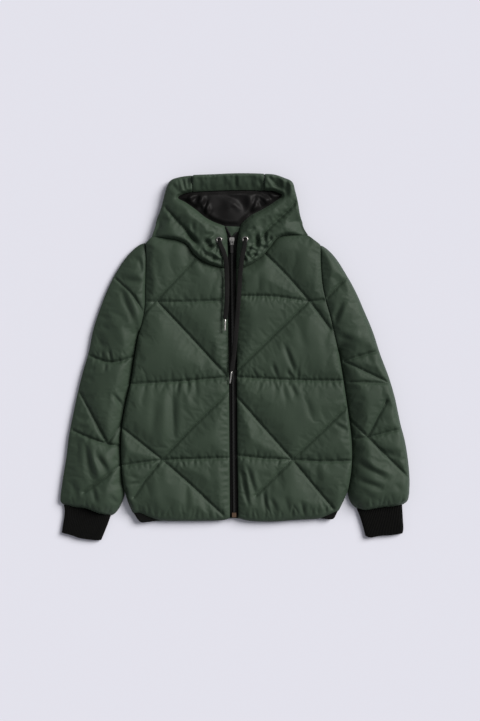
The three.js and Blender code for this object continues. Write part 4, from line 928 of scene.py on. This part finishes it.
PUCKERS_HOOD_TOP = [(-98, 399, 66, 401, 13, 10, 2.0, 1), (66, 437, -98, 434, 13, 14, 2.4, 1)]


# How unevenly the puckers lie, as shares of their spacing, reach and height
PUCKER_START = (0.2, 1)
PUCKER_LEAN = (-0.42, 0.42)
PUCKER_REACH = (0.5, 1.35)
PUCKER_HEIGHT = (0.25, 1.15)
PUCKER_WIDTH = (0.2, 0.36)
PUCKER_NEXT = (0.6, 1.7)


def puckers(rows, seed):
    """Turns seams into short troughs off them, uneven in place, length and depth."""
    draw = np.random.default_rng(seed)
    folds = []
    for x1, y1, x2, y2, spacing, reach, height, sides in rows:
        a, b = np.array([x1, y1], float), np.array([x2, y2], float)
        length = np.linalg.norm(b - a)
        way = (b - a) / length
        across = np.array([-way[1], way[0]])
        for side in ((1, -1) if sides == 2 else (sides,)):
            at = draw.uniform(*PUCKER_START) * spacing
            while at < length:
                lean = draw.uniform(*PUCKER_LEAN)
                far = reach * draw.uniform(*PUCKER_REACH)
                start = a + way * at
                end = start + (across * side + way * lean) * far
                size = height * draw.uniform(*PUCKER_HEIGHT)
                width = spacing * draw.uniform(*PUCKER_WIDTH)
                folds.append((*start, *end, width, -size))
                at += spacing * draw.uniform(*PUCKER_NEXT)
    return folds


def stretch(kind, rows, backwards=False, step=CLOTH_STEP):
    points = curve(rows, step)
    return kind, points[::-1] if backwards else points


def smooth_step(low, high, value):
    share = np.clip((value - low) / (high - low), 0, 1)
    return share * share * (3 - 2 * share)


# Level lands in the hood that carry the eyelets: x, y, height and radius
EYELET_RIGHT = (-38, 280, 33, 9)
EYELET_LEFT = (24, 281, 33, 9)
LAND_SLOPE = 2
LAND_HELD = 1.15

# Neck edge of the back
BACK_NECK_TOP = 304
BACK_NECK_DROP = 16
BACK_NECK_REACH = 190
NECK_END_RIGHT = -198
NECK_END_LEFT = 176


def neck_points(from_x, to_x, step=CLOTH_STEP):
    """The back's neck edge is a shallow arch."""
    xs = np.linspace(from_x, to_x, max(1, round(abs(to_x - from_x) / step)) + 1)
    ys = BACK_NECK_TOP - BACK_NECK_DROP * (np.abs(xs) / BACK_NECK_REACH) ** 3
    return np.column_stack([xs, ys])


def make_shell(name, stretches, quilting=(), folds=(), crown=FRONT_CROWN, low=FRONT_LOW, lands=()):
    """The open outer side of a padded panel, before its padding pushes it out."""
    outline = outline_of(stretches)
    lines = [curve(line) for _, line in quilting]
    flat, triangles, held = triangulate(outline, lines, CLOTH_STEP)
    depths = [depth for depth, _ in quilting]
    height, creases = upper_heights(flat, outline, lines, depths, folds, crown)
    for x, y, land, radius in lands:
        away = np.hypot(flat[:, 0] - x, flat[:, 1] - y)
        share = smooth_step(radius, radius * LAND_SLOPE, away)
        height = land + (height - land) * share
        held |= away < radius * LAND_HELD
    height = np.maximum(height, low + THINNEST)
    points = np.column_stack([flat, height])
    shell = new_object(f"{name}_open", points, triangles, SHELL)
    return {
        "name": name, "shell": shell, "outline": outline, "lines": lines, "points": points,
        "triangles": triangles, "held": held, "low": low, "creases": creases,
    }


# Padding pushes each shell out between its stitched lines
PRESSURE = 3.0
CLOTH_FRAMES = 18
SHRINK = -0.008
LIFT_LIMIT = 5.0
SLIP_LIMIT = 4.0
CREASE_HOLD = 2.5
CLOTH_QUALITY = 5
CLOTH_MASS = 0.25
STRETCH_STIFFNESS = 15
SHEAR_STIFFNESS = 5
BENDING_STIFFNESS = 0.5


def settle(panels):
    """Lets the shells puff out and gather between their seams as one simulation."""
    for panel in panels:
        shell = panel["shell"]
        pins = shell.vertex_groups.new(name="pins")
        pins.add(np.flatnonzero(panel["held"]).tolist(), 1.0, "ADD")
        cloth = shell.modifiers.new("cloth", "CLOTH")
        settings = cloth.settings
        settings.vertex_group_mass = "pins"
        settings.quality = CLOTH_QUALITY
        settings.mass = CLOTH_MASS
        settings.tension_stiffness = STRETCH_STIFFNESS
        settings.compression_stiffness = STRETCH_STIFFNESS
        settings.shear_stiffness = SHEAR_STIFFNESS
        settings.bending_stiffness = BENDING_STIFFNESS
        settings.shrink_min = SHRINK
        settings.use_pressure = True
        settings.uniform_pressure_force = PRESSURE
        settings.effector_weights.gravity = 0
        cloth.point_cache.frame_start = 1
        cloth.point_cache.frame_end = CLOTH_FRAMES
    for moment in range(1, CLOTH_FRAMES + 1):
        bpy.context.scene.frame_set(moment)
    depsgraph = bpy.context.evaluated_depsgraph_get()
    for panel in panels:
        settled = panel["shell"].evaluated_get(depsgraph).data
        places = np.empty(3 * len(settled.vertices))
        settled.vertices.foreach_get("co", places)
        moved = places.reshape(-1, 3) / MM - panel["points"]
        flat = moved[:, :2]
        slip = np.linalg.norm(flat, axis=1, keepdims=True)
        moved[:, :2] = flat * np.minimum(1, SLIP_LIMIT / np.maximum(slip, 1e-9))
        limit = LIFT_LIMIT / (1 + np.maximum(0, -panel["creases"]) / CREASE_HOLD)
        moved[:, 2] = limit * np.tanh(moved[:, 2] / limit)
        panel["points"] = panel["points"] + moved
        panel["points"][:, 2] = np.maximum(panel["points"][:, 2], panel["low"] + THINNEST)
    bpy.context.scene.frame_set(1)
    for panel in panels:
        panel["shell"].modifiers.clear()
        panel["shell"].vertex_groups.clear()


# Walls of a panel, and the skirt that a folded edge turns under with
WALL_ROWS = 4
BULGE_FROM = 0.15
SKIRT_DROP = 3
SKIRT_INSET = 2.6
LOWER_INSET = 3.0
CORNER_CLEAR = 0.8


def close_panel(panel, skirts=(), lower=None):
    """Adds the walls along the edges and the side that faces down."""
    loop, kinds = panel["outline"]
    points = panel["points"]
    count = len(loop)
    vertices = [points]
    rests = panel["low"] == 0
    under = np.array([EDGES[kind][3] for kind in kinds], float) if rests else np.zeros(count)
    base = panel["low"] + under
    outward = unit(loop - shrink(loop, 1))
    bulge = np.array([EDGES[kind][4] for kind in kinds])
    inset = np.zeros(count)
    for kind in skirts:
        base[kinds == kind] = EDGES[kind][3] - SKIRT_DROP
        inset[kinds == kind] = SKIRT_INSET
    top = points[:count, 2]
    for row in range(1, WALL_ROWS + 1):
        share = row / WALL_ROWS
        wide = (bulge * math.sin(math.pi * (BULGE_FROM + (1 - BULGE_FROM) * share)))[:, None]
        ring = points[:count, :2] + outward * wide
        vertices.append(np.column_stack([ring, top + (base - top) * share]))
    faces = list(panel["triangles"])
    start = len(points)
    before = list(range(count))
    for _ in range(WALL_ROWS):
        ring = [start + i for i in range(count)]
        faces += join_rings(before, ring)
        before, start = ring, start + count
    if skirts:
        inner = shrink(loop, 1)
        inner = loop + (inner - loop) * inset[:, None]
        vertices.append(np.column_stack([inner, np.full(count, panel["low"], float)]))
        ring = [start + i for i in range(count)]
        faces += join_rings(before, ring)
        before, start = ring, start + count
        loop = inner
    flat, triangles, _ = triangulate((loop, kinds), [], UNDER_STEP)
    low = np.full(len(flat), float(panel["low"]))
    if rests:
        low = resting_heights(flat, (loop, kinds))
    vertices.append(np.column_stack([flat[count:], low[count:]]))
    for triangle in triangles:
        faces.append([before[i] if i < count else start + i - count for i in triangle[::-1]])
    if lower is not None:
        solid, sides = lower_layer(lower)
        first = sum(len(part) for part in vertices)
        vertices.append(solid)
        faces += [[first + i for i in side] for side in sides]
    bpy.data.objects.remove(panel["shell"])
    panel["shell"] = new_object(f"{panel['name']}_cloth", np.vstack(vertices), faces, SHELL)
    finish_padded(panel["shell"], panel["name"])


def lower_layer(stretches):
    """The plain layer below a folded one, without points that would cross in its corners."""
    loop, kinds = outline_of(stretches, LOWER_INSET)
    edge, _ = outline_of(stretches)
    clear = nearest(loop, edge, np.roll(edge, -1, axis=0)) > CORNER_CLEAR * LOWER_INSET
    return resting_layer((loop[clear], kinds[clear]))


def resting_layer(outline):
    """A layer on the surface, flat above and rounded at its edges below."""
    def under(flat):
        return resting_heights(flat, outline)

    return slab(outline, UNDER_STEP, level(LAYER_TOP), under)


def soften(obj):
    smooth = obj.modifiers.new("smooth", "SUBSURF")
    smooth.levels = 1
    smooth.render_levels = 1


def finish_padded(obj, node):
    soften(obj)
    dress(obj, node)


def make_back():
    shoulder_left = np.array([ARMHOLE_LEFT[0]], float)
    shoulder_right = np.array([ARMHOLE_RIGHT[0]], float)
    neck = np.vstack([shoulder_left, neck_points(NECK_END_LEFT, NECK_END_RIGHT), shoulder_right])
    outline = outline_of([
        stretch("hem", BACK_HEM_LEFT, True),
        stretch("side", BACK_CORNER_LEFT, True),
        stretch("side", SIDE_LEFT, True),
        stretch("seam", ARMHOLE_LEFT, True),
        ("seam", evenly(neck, CLOTH_STEP)),
        stretch("seam", ARMHOLE_RIGHT),
        stretch("side", SIDE_RIGHT),
        stretch("side", BACK_CORNER_RIGHT),
        stretch("hem", BACK_HEM_RIGHT),
    ])
    finish_padded(new_object("back_cloth", *resting_layer(outline), SHELL), "back")


def make_panels():
    """Every quilted panel of the body, sleeves and hood, with its open outer side."""
    front_right = make_shell("front_right", [
        stretch("zip", ZIP_RIGHT),
        stretch("neck", NECK_RIGHT),
        stretch("seam", SHOULDER_RIGHT),
        stretch("seam", ARMHOLE_RIGHT),
        stretch("flank", SIDE_RIGHT),
        stretch("outer", FRONT_CORNER_RIGHT),
        stretch("hem", FRONT_HEM_RIGHT),
    ], QUILT_FRONT_RIGHT, FOLDS_FRONT_RIGHT + puckers(PUCKERS_FRONT_RIGHT, 1))
    front_left = make_shell("front_left", [
        stretch("hem", FRONT_HEM_LEFT, True),
        stretch("outer", FRONT_CORNER_LEFT, True),
        stretch("flank", SIDE_LEFT, True),
        stretch("shallow", ARMHOLE_LEFT, True),
        stretch("shallow", SHOULDER_LEFT, True),
        stretch("neck", NECK_LEFT, True),
        stretch("zip", ZIP_LEFT, True),
    ], QUILT_FRONT_LEFT, FOLDS_FRONT_LEFT + puckers(PUCKERS_FRONT_LEFT, 2))
    sleeve_right = make_shell("sleeve_right", [
        stretch("slope", SLEEVE_OUT_RIGHT),
        stretch("slope", SLEEVE_CORNER_RIGHT),
        stretch("cuff", SLEEVE_END_RIGHT),
        stretch("side", SLEEVE_IN_RIGHT),
        stretch("side", SIDE_RIGHT, True),
        stretch("seam", ARMHOLE_RIGHT, True),
    ], QUILT_SLEEVE_RIGHT, FOLDS_SLEEVE_RIGHT + puckers(PUCKERS_SLEEVE_RIGHT, 3),
        TILTED_CROWN, 0)
    sleeve_left = make_shell("sleeve_left", [
        stretch("shallow", ARMHOLE_LEFT),
        stretch("side", SIDE_LEFT),
        stretch("side", SLEEVE_IN_LEFT, True),
        stretch("cuff", SLEEVE_END_LEFT, True),
        stretch("outer", SLEEVE_CORNER_LEFT, True),
        stretch("outer", SLEEVE_OUT_LEFT, True),
    ], QUILT_SLEEVE_LEFT, FOLDS_SLEEVE_LEFT + puckers(PUCKERS_SLEEVE_LEFT, 4),
        SLEEVE_CROWN, 0)
    hood_right = make_shell("hood_side_right", [
        stretch("zip", HOOD_ZIP_RIGHT),
        stretch("mouth", MOUTH_RIGHT),
        stretch("panel", HOOD_SEAM_RIGHT),
        stretch("bend", HOOD_OUT_RIGHT),
        stretch("side", HOOD_FLAP_RIGHT),
        stretch("collar", NECK_RIGHT, True),
    ], TUNNEL_RIGHT, FOLDS_HOOD_RIGHT + puckers(PUCKERS_HOOD_RIGHT, 5), HOOD_CROWN, HOOD_LOW,
        [EYELET_RIGHT])
    hood_left = make_shell("hood_side_left", [
        stretch("collar", NECK_LEFT),
        stretch("side", HOOD_FLAP_LEFT),
        stretch("fold", HOOD_OUT_LEFT),
        stretch("panel", HOOD_SEAM_LEFT),
        stretch("mouth", MOUTH_LEFT),
        stretch("zip", HOOD_ZIP_LEFT),
    ], TUNNEL_LEFT, FOLDS_HOOD_LEFT + puckers(PUCKERS_HOOD_LEFT, 6), HOOD_CROWN, HOOD_LOW,
        [EYELET_LEFT])
    hood_centre = make_shell("hood_centre", [
        stretch("brim", MOUTH_TOP),
        stretch("panel", HOOD_SEAM_LEFT, True),
        stretch("fold", HOOD_TOP),
        stretch("panel", HOOD_SEAM_RIGHT, True),
    ], [], FOLDS_HOOD_TOP + puckers(PUCKERS_HOOD_TOP, 7), HOOD_CROWN, HOOD_LOW)
    return [front_right, front_left, sleeve_right, sleeve_left, hood_right, hood_left, hood_centre]


def hood_layers():
    """Outlines of the hood's lower layer, by the panel that folds over to it."""
    right_x, left_x = HOOD_SEAM_RIGHT[0][0], HOOD_SEAM_LEFT[0][0]
    right_neck, left_neck = neck_points(right_x, right_x)[0], neck_points(left_x, left_x)[0]
    right_top, left_top = HOOD_SEAM_RIGHT[1], HOOD_SEAM_LEFT[0]
    seam_right = evenly(np.array([right_neck, right_top], float), CLOTH_STEP)
    seam_left = evenly(np.array([left_top, left_neck], float), CLOTH_STEP)
    flap_right = curve(HOOD_FLAP_RIGHT).copy()
    flap_right[-1] = neck_points(NECK_END_RIGHT, NECK_END_RIGHT)[0]
    flap_left = curve(HOOD_FLAP_LEFT).copy()
    flap_left[0] = neck_points(NECK_END_LEFT, NECK_END_LEFT)[0]
    return {
        "hood_side_right": [
            ("seam", neck_points(NECK_END_RIGHT, right_x)),
            ("panel", seam_right),
            stretch("fold", HOOD_OUT_RIGHT),
            ("side", flap_right),
        ],
        "hood_side_left": [
            ("seam", neck_points(left_x, NECK_END_LEFT)),
            ("side", flap_left),
            stretch("fold", HOOD_OUT_LEFT),
            ("panel", seam_left),
        ],
        "hood_centre": [
            ("seam", neck_points(right_x, left_x)),
            ("panel", seam_left[::-1]),
            stretch("fold", HOOD_TOP),
            ("panel", seam_right[::-1]),
        ],
    }


# Rib-knit cuffs are flattened tubes, open at the hand
CUFF_RIBS = 26
CUFF_TOP = 12.0
CUFF_MIDDLE = 5.4
CUFF_WALL = 2.2
CUFF_RIB = 1.2
CUFF_GATHER = 1.4
CUFF_WOBBLE = 0.0016
CUFF_ROUNDING = 0.13
RIB_POINTS = 8
RIB_ROUND = 0.75
EDGE_COUNT = 400

# Rows round a cuff: share of the way down, and depth into its wall
CUFF_START = 0.006
CUFF_CROWDING = 1.15
OUTER_ROWS = [
    (CUFF_START + (1 - CUFF_START) * (1 - (1 - t) ** CUFF_CROWDING), 0) for t in np.linspace(0, 1, 22)
]
RIM_ROWS = [(1.009, 0.3), (1.012, 0.5), (1.009, 0.7)]
INNER_ROWS = [(t, 1) for t in np.linspace(1, CUFF_START, 5)]


def make_cuff(side, seam, hem, first, last):
    """Rings of points round the tube, spread over the patch between four edges."""
    edges = [run(rows, EDGE_COUNT) for rows in (seam, hem, first, last)]

    def along(edge, share):
        at, whole = share * EDGE_COUNT, np.arange(EDGE_COUNT + 1)
        return np.column_stack([np.interp(at, whole, edge[:, i]) for i in (0, 1)])

    def patch(across, down):
        down = np.full_like(across, down)
        seam_at, hem_at = along(edges[0], across), along(edges[1], across)
        first_at, last_at = along(edges[2], down), along(edges[3], down)
        corners = [along(edges[0], across * 0), along(edges[0], across * 0 + 1)]
        corners += [along(edges[1], across * 0), along(edges[1], across * 0 + 1)]
        u, v = across[:, None], down[:, None]
        flat = seam_at * (1 - v) + hem_at * v + first_at * (1 - u) + last_at * u
        flat -= corners[0] * (1 - u) * (1 - v) + corners[1] * u * (1 - v)
        return flat - corners[2] * (1 - u) * v - corners[3] * u * v

    across = np.linspace(0, 1, CUFF_RIBS * RIB_POINTS, endpoint=False)
    edge_share = np.minimum(across, 1 - across) / CUFF_ROUNDING
    rounding = np.sqrt(np.clip(1 - (1 - edge_share).clip(0) ** 2, 0, 1))
    ridge = np.abs(np.sin(math.pi * CUFF_RIBS * across)) ** RIB_ROUND
    rings = []
    for down, depth in OUTER_ROWS + RIM_ROWS + INNER_ROWS:
        wobble = CUFF_WOBBLE * math.sin(down * 7 + (0 if side == "right" else 2))
        flat = patch(np.clip(across + wobble * rounding, 0, 1), down)
        gather = CUFF_GATHER * math.exp(-down / 0.06)
        upper = CUFF_MIDDLE + (CUFF_TOP - CUFF_RIB - CUFF_MIDDLE) * rounding
        upper += CUFF_RIB * (ridge - 0.4) * (0.35 + 0.65 * rounding) + gather * (ridge - 0.5)
        lower = CUFF_MIDDLE * (1 - rounding)
        spread = CUFF_WALL * depth
        upper_row = np.column_stack([flat, np.maximum(upper - spread, CUFF_MIDDLE + 0.5 * depth)])
        lower_flat, lower_high = flat[::-1], lower[::-1]
        lower_row = np.column_stack([lower_flat, np.minimum(lower_high + spread, CUFF_MIDDLE)])
        ring = np.vstack([upper_row[1:], lower_row[:-1]])
        if depth:
            centre = ring[:, :2].mean(axis=0)
            pull = 1 - depth * CUFF_WALL / 55
            ring[:, :2] = centre + (ring[:, :2] - centre) * pull
        rings.append(ring)
    rings.append(rings[0])
    count = len(rings[0])
    vertices = np.vstack(rings[:-1])
    faces = []
    for row in range(len(rings) - 1):
        here, there = row * count, (row + 1) % (len(rings) - 1) * count
        for i in range(count):
            j = (i + 1) % count
            faces.append((here + i, there + i, there + j, here + j))
    cuff = new_object(f"cuff_{side}_knit", vertices, faces, KNIT)
    dress(cuff, f"cuff_{side}")


LINING_WALL = 1.2
LINING_MARGIN = 7
LINING_RISE = 7
LINING_FLAT = (9, 20)
LINING_TOP = 16


def make_lining():
    outline = outline_of([
        stretch("hem", [MOUTH_RIGHT[0], MOUTH_LEFT[-1]]),
        stretch("hem", MOUTH_LEFT, True),
        stretch("hem", MOUTH_TOP, True),
        stretch("hem", MOUTH_RIGHT, True),
    ], -LINING_MARGIN)

    def upper(flat):
        near = edge_distances(flat, outline)["hem"]
        folds = fold_heights(flat, FOLDS_LINING, near) + LINING_RISE
        return FRONT_LOW + LINING_WALL + np.clip(smooth_step(*LINING_FLAT, near) * folds, 0, LINING_TOP)

    layer = slab(outline, CLOTH_STEP, upper, level(FRONT_LOW))
    lining = new_object("hood_lining_satin", *layer, LINING)
    soften(lining)
    dress(lining, "hood_lining")


# Zip: two tapes, the guard behind its open top, teeth, and the facing of the hem
ZIP_ROOM = 0.5
RISE_FROM = 140
RISE_TO = 196
TAPE_END = 292
TAPE_WALL = 1.5
TAPE_BEAD = 0.7
TAPE_BEAD_WIDTH = 0.14
TAPE_HIGH = 15.6
TAPE_STEPS = 240
STRIP_COLUMNS = 8
GUARD_LOW = 13.8
GUARD_WALL = 1.5
GUARD_STEPS = 40
GUARD_RIPPLE = (296, 306)
CHAIN = [
    (-2, -385), (-3.5, -247), (-4.5, -103), (-6, 41), (-7, 137), (-7.3, 214), (-7.4, 262),
    (-7.4, 277), (-7.4, 283), (-7.4, 286),
]
CHAIN_OPEN_RIGHT = (-20.4, 312)
CHAIN_OPEN_LEFT = (3, 300)
TAPE_TOP_RIGHT = (-24.4, 312.5)
TAPE_TOP_LEFT = (9, 300)
FACING_BACK_RIGHT = [(-241, -377), (-233, -390), (-226, -396), (-204, -395)]
FACING_BACK_LEFT = [(214, -388), (236, -388), (244, -375)]
FACING_FROM_RIGHT = -176
FACING_FROM_LEFT = 200
FACING_WALL = 1.5
FACING_INSET = 0.35


def tape_low(y):
    return FRONT_LOW + (TAPE_HIGH - FRONT_LOW) * smooth_step(RISE_FROM, RISE_TO, y)


def strip_sheet(name, left, right, low_at, wall, material, raised):
    """A strip of cloth between two runs of points that pair up."""
    shares = np.linspace(0, 1, STRIP_COLUMNS + 1)
    rings = []
    for a, b in zip(left, right):
        flat = a + (b - a) * shares[:, None]
        low = low_at(flat[:, 1])
        upper = np.column_stack([flat, low + wall + raised(shares, flat[:, 1])])
        lower = np.column_stack([flat, low])
        rings.append(np.vstack([upper, lower[::-1]]))
    return tube(name, rings, material)


def declare_sheet(piece, node):
    dress(piece, node)


def make_tapes():
    below = [row for row in HOOD_ZIP_RIGHT[1:] if row[1] < TAPE_END]
    edge_right = [*ZIP_RIGHT, *below, TAPE_TOP_RIGHT]
    below = [row for row in HOOD_ZIP_LEFT[-2::-1] if row[1] < TAPE_END]
    edge_left = [*ZIP_LEFT, *below, TAPE_TOP_LEFT]
    chain_right = beside(run([*CHAIN, CHAIN_OPEN_RIGHT], TAPE_STEPS), ZIP_ROOM / 2)
    chain_left = beside(run([*CHAIN, CHAIN_OPEN_LEFT], TAPE_STEPS), -ZIP_ROOM / 2)
    side_right = beside(run(edge_right, TAPE_STEPS), -ZIP_ROOM)
    side_left = beside(run(edge_left, TAPE_STEPS), ZIP_ROOM)

    def bead(shares, _):
        return TAPE_BEAD * np.exp(-(((1 - shares) / TAPE_BEAD_WIDTH) ** 2))

    for side, outer, inner in (("right", side_right, chain_right), ("left", side_left, chain_left)):
        tape = strip_sheet(f"zip_tape_{side}_weave", outer, inner, tape_low, TAPE_WALL, TAPE, bead)
        declare_sheet(tape, f"zip_tape_{side}")


def make_guard():
    right = beside(run(HOOD_ZIP_RIGHT, GUARD_STEPS), -ZIP_ROOM)
    left = beside(run(HOOD_ZIP_LEFT[::-1], GUARD_STEPS), ZIP_ROOM)

    def ripple(shares, y):
        wave = 0.5 * np.sin(shares * 11 + y / 9) + 0.3 * np.sin(shares * 23 - y / 14)
        return (0.8 + wave) * np.sin(math.pi * shares) * smooth_step(*GUARD_RIPPLE, y)

    guard = strip_sheet("wind_guard_cloth", right, left, level(GUARD_LOW), GUARD_WALL, SHELL, ripple)
    declare_sheet(guard, "wind_guard")


def make_facings():
    hem_right, hem_left = curve(FRONT_HEM_RIGHT), curve(FRONT_HEM_LEFT)
    fronts = {
        "right": hem_right[hem_right[:, 0] < FACING_FROM_RIGHT][::-1],
        "left": hem_left[hem_left[:, 0] > FACING_FROM_LEFT],
    }
    backs = {"right": curve(FACING_BACK_RIGHT), "left": curve(FACING_BACK_LEFT)}
    for side in fronts:
        loop = np.vstack([fronts[side], backs[side]])
        outline = shrink(loop, FACING_INSET), np.array(["hem"] * len(loop))
        layer = slab(outline, CLOTH_STEP, level(FRONT_LOW + FACING_WALL), level(FRONT_LOW))
        facing = new_object(f"hem_facing_{side}_cloth", *layer, FACING)
        declare_sheet(facing, f"hem_facing_{side}")


TOOTH_PITCH = 3.4
TOOTH_LENGTH = 2.3
TOOTH_WIDTH = 3.6
TOOTH_HEIGHT = 2.6
TOOTH_BEVEL = 0.5
TOOTH_OFFSET = 1.0
TOOTH_SINK = 0.2
TOOTH_FOOT = 0.1
TEETH_HIDDEN = (268, 287)


def make_teeth():
    """Moulded teeth that alternate from side to side, and part above the slider."""
    corners = np.array([(-1, -1), (1, -1), (1, 1), (-1, 1)], float)
    half = np.array([TOOTH_WIDTH, TOOTH_LENGTH]) / 2
    for side, sign, end in (("right", -1, CHAIN_OPEN_RIGHT), ("left", 1, CHAIN_OPEN_LEFT)):
        path = evenly(curve([*CHAIN, end], 1), TOOTH_PITCH / 2)
        ways = unit(np.gradient(path, axis=0))
        vertices, faces = [], []
        for centre, way in list(zip(path, ways))[1 + (sign > 0):-1:2]:
            if TEETH_HIDDEN[0] < centre[1] < TEETH_HIDDEN[1]:
                continue
            across = np.array([way[1], -way[0]])
            middle = centre + across * sign * TOOTH_OFFSET
            base = tape_low(centre[1]) + TAPE_WALL - TOOTH_SINK
            start = len(vertices)
            levels = ((0, TOOTH_FOOT), (TOOTH_HEIGHT - TOOTH_BEVEL, 0), (TOOTH_HEIGHT, TOOTH_BEVEL))
            for rise, cut in levels:
                for u, v in corners * (half - cut):
                    point = middle + across * u + way * v
                    vertices.append((*point, base + rise))
            faces += block_faces(start, 4, len(levels))
        teeth = new_object(f"zip_teeth_{side}", vertices, faces, TEETH, smooth=False)
        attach(teeth, "garment")


# Eyelets: a pressed ring round a dark hole
EYELET_INNER = 4.0
EYELET_OUTER = 7.5
EYELET_HEIGHT = 1.6
EYELET_LIFT = 0.3
EYELET_FOOT = 0.3
EYELET_ARC = 9
EYELET_SIDES = 48
HOLE_SIDES = 32
HOLE_RINGS = ((-1.0, EYELET_INNER), (0.35, EYELET_INNER + 0.3))


def make_eyelet(side, land):
    x, y, height, _ = land
    middle, half = (EYELET_INNER + EYELET_OUTER) / 2, (EYELET_OUTER - EYELET_INNER) / 2
    profile = [(EYELET_INNER, 0), (EYELET_OUTER, 0)]
    profile += [
        (middle + half * math.cos(turn), EYELET_HEIGHT * (EYELET_FOOT + (1 - EYELET_FOOT) * math.sin(turn)))
        for turn in np.linspace(0, math.pi, EYELET_ARC)
    ]
    rings = []
    base = np.array([x, y, height + EYELET_LIFT])
    for turn in np.linspace(0, 2 * math.pi, EYELET_SIDES, endpoint=False):
        way = np.array([math.cos(turn), math.sin(turn), 0])
        rings.append(np.array([base + way * radius + (0, 0, rise) for radius, rise in profile]))
    ring = tube(f"eyelet_{side}_ring", [*rings, rings[0]], NICKEL, closed=False)
    shape = bmesh.new()
    shape.from_mesh(ring.data)
    bmesh.ops.remove_doubles(shape, verts=shape.verts, dist=1e-6)
    bmesh.ops.recalc_face_normals(shape, faces=shape.faces)
    shape.to_mesh(ring.data)
    shape.free()
    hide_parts(f"eyelet_{side}")
    upright = np.array([0.0, 1e-3, 1.0])
    circles = []
    for rise, radius in HOLE_RINGS:
        centre = np.array([x, y, height + rise])
        circles.append(ring_at(centre, upright, 2 * radius, 2 * radius, HOLE_SIDES, power=1))
    hole = tube(f"eyelet_{side}_hole", circles, FACING)
    for piece, slot in ((ring, "silver_metal"), (hole, "cord")):
        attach(piece, "garment")


# Stitches along every quilted line, each a short thread that dips at both ends
STITCH_LENGTH = 3.1
STITCH_PITCH = 4.0
STITCH_RADIUS = 0.38
STITCH_LIFT = 0.22
STITCH_SIDES = 5
STITCH_ROWS = ((0, -0.35), (0.25, 0), (0.75, 0), (1, -0.35))
RAY_HEIGHT = 0.12


def make_stitches(panel, depsgraph):
    if not panel["lines"]:
        return
    tree = BVHTree.FromObject(panel["shell"], depsgraph)
    loop, _ = panel["outline"]
    vertices, faces = [], []

    def surface(point):
        hit = tree.ray_cast(Vector((*point * MM, RAY_HEIGHT)), Vector((0, 0, -1)))
        return None if hit[0] is None else hit[0].z / MM

    for line in panel["lines"]:
        path = evenly(line, STITCH_PITCH)
        inside = is_inside(path, loop)
        for a, b, kept in zip(path[:-1], path[1:], inside[:-1] & inside[1:]):
            if not kept:
                continue
            way = unit(b - a)
            flat = [a + way * (STITCH_LENGTH * share) for share, _ in STITCH_ROWS]
            heights = [surface(point) for point in flat]
            if None in heights:
                continue
            start = len(vertices)
            across = np.array([-way[1], way[0], 0])
            for point, height, (_, rise) in zip(flat, heights, STITCH_ROWS):
                centre = np.array([*point, height + STITCH_LIFT + rise])
                for i in range(STITCH_SIDES):
                    turn = 2 * math.pi * i / STITCH_SIDES
                    lift = np.array([0, 0, math.sin(turn)])
                    vertices.append(centre + (across * math.cos(turn) + lift) * STITCH_RADIUS)
            faces += block_faces(start, STITCH_SIDES, len(STITCH_ROWS))
    # The stitches take the darkened thread, which paints shade along the quilting lines
    stitches = new_object(f"stitches_{panel['name']}", vertices, faces, THREAD_WITH_PAINTED_SHADE)
    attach(stitches, "garment")


def dress_nodes():
    """Metal parts of the solids that stay as they are."""
    finishes = {"zip_slider": SILVER, "zip_pull_tab": BLACK_NICKEL, "zip_bottom_box": BRONZE}
    for node, material in finishes.items():
        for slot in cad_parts[node].material_slots:
            slot.material = material


make_camera()
make_light()
make_drawcord("right", CORD_RIGHT, TIP_RIGHT)
make_drawcord("left", CORD_LEFT, TIP_LEFT)
make_back()
panels = make_panels()
settle(panels)
layers = hood_layers()
for panel in panels:
    hooded = panel["name"] in layers
    close_panel(panel, ["fold", "bend"] if hooded else (), layers.get(panel["name"]))
make_cuff("right", SLEEVE_END_RIGHT, CUFF_HEM_RIGHT, CUFF_OUT_RIGHT, CUFF_IN_RIGHT)
make_cuff("left", SLEEVE_END_LEFT[::-1], CUFF_HEM_LEFT, CUFF_IN_LEFT, CUFF_OUT_LEFT)
make_lining()
make_guard()
make_tapes()
make_facings()
make_teeth()
make_eyelet("right", EYELET_RIGHT)
make_eyelet("left", EYELET_LEFT)
dress_nodes()
bpy.context.view_layer.update()
depsgraph = bpy.context.evaluated_depsgraph_get()
for panel in panels:
    make_stitches(panel, depsgraph)

bpy.ops.mesh.primitive_plane_add(size=FLOOR_SIZE, location=(0, 0, 0))
floor = bpy.context.object
floor.name = "floor"
floor.data.materials.append(floor_material())
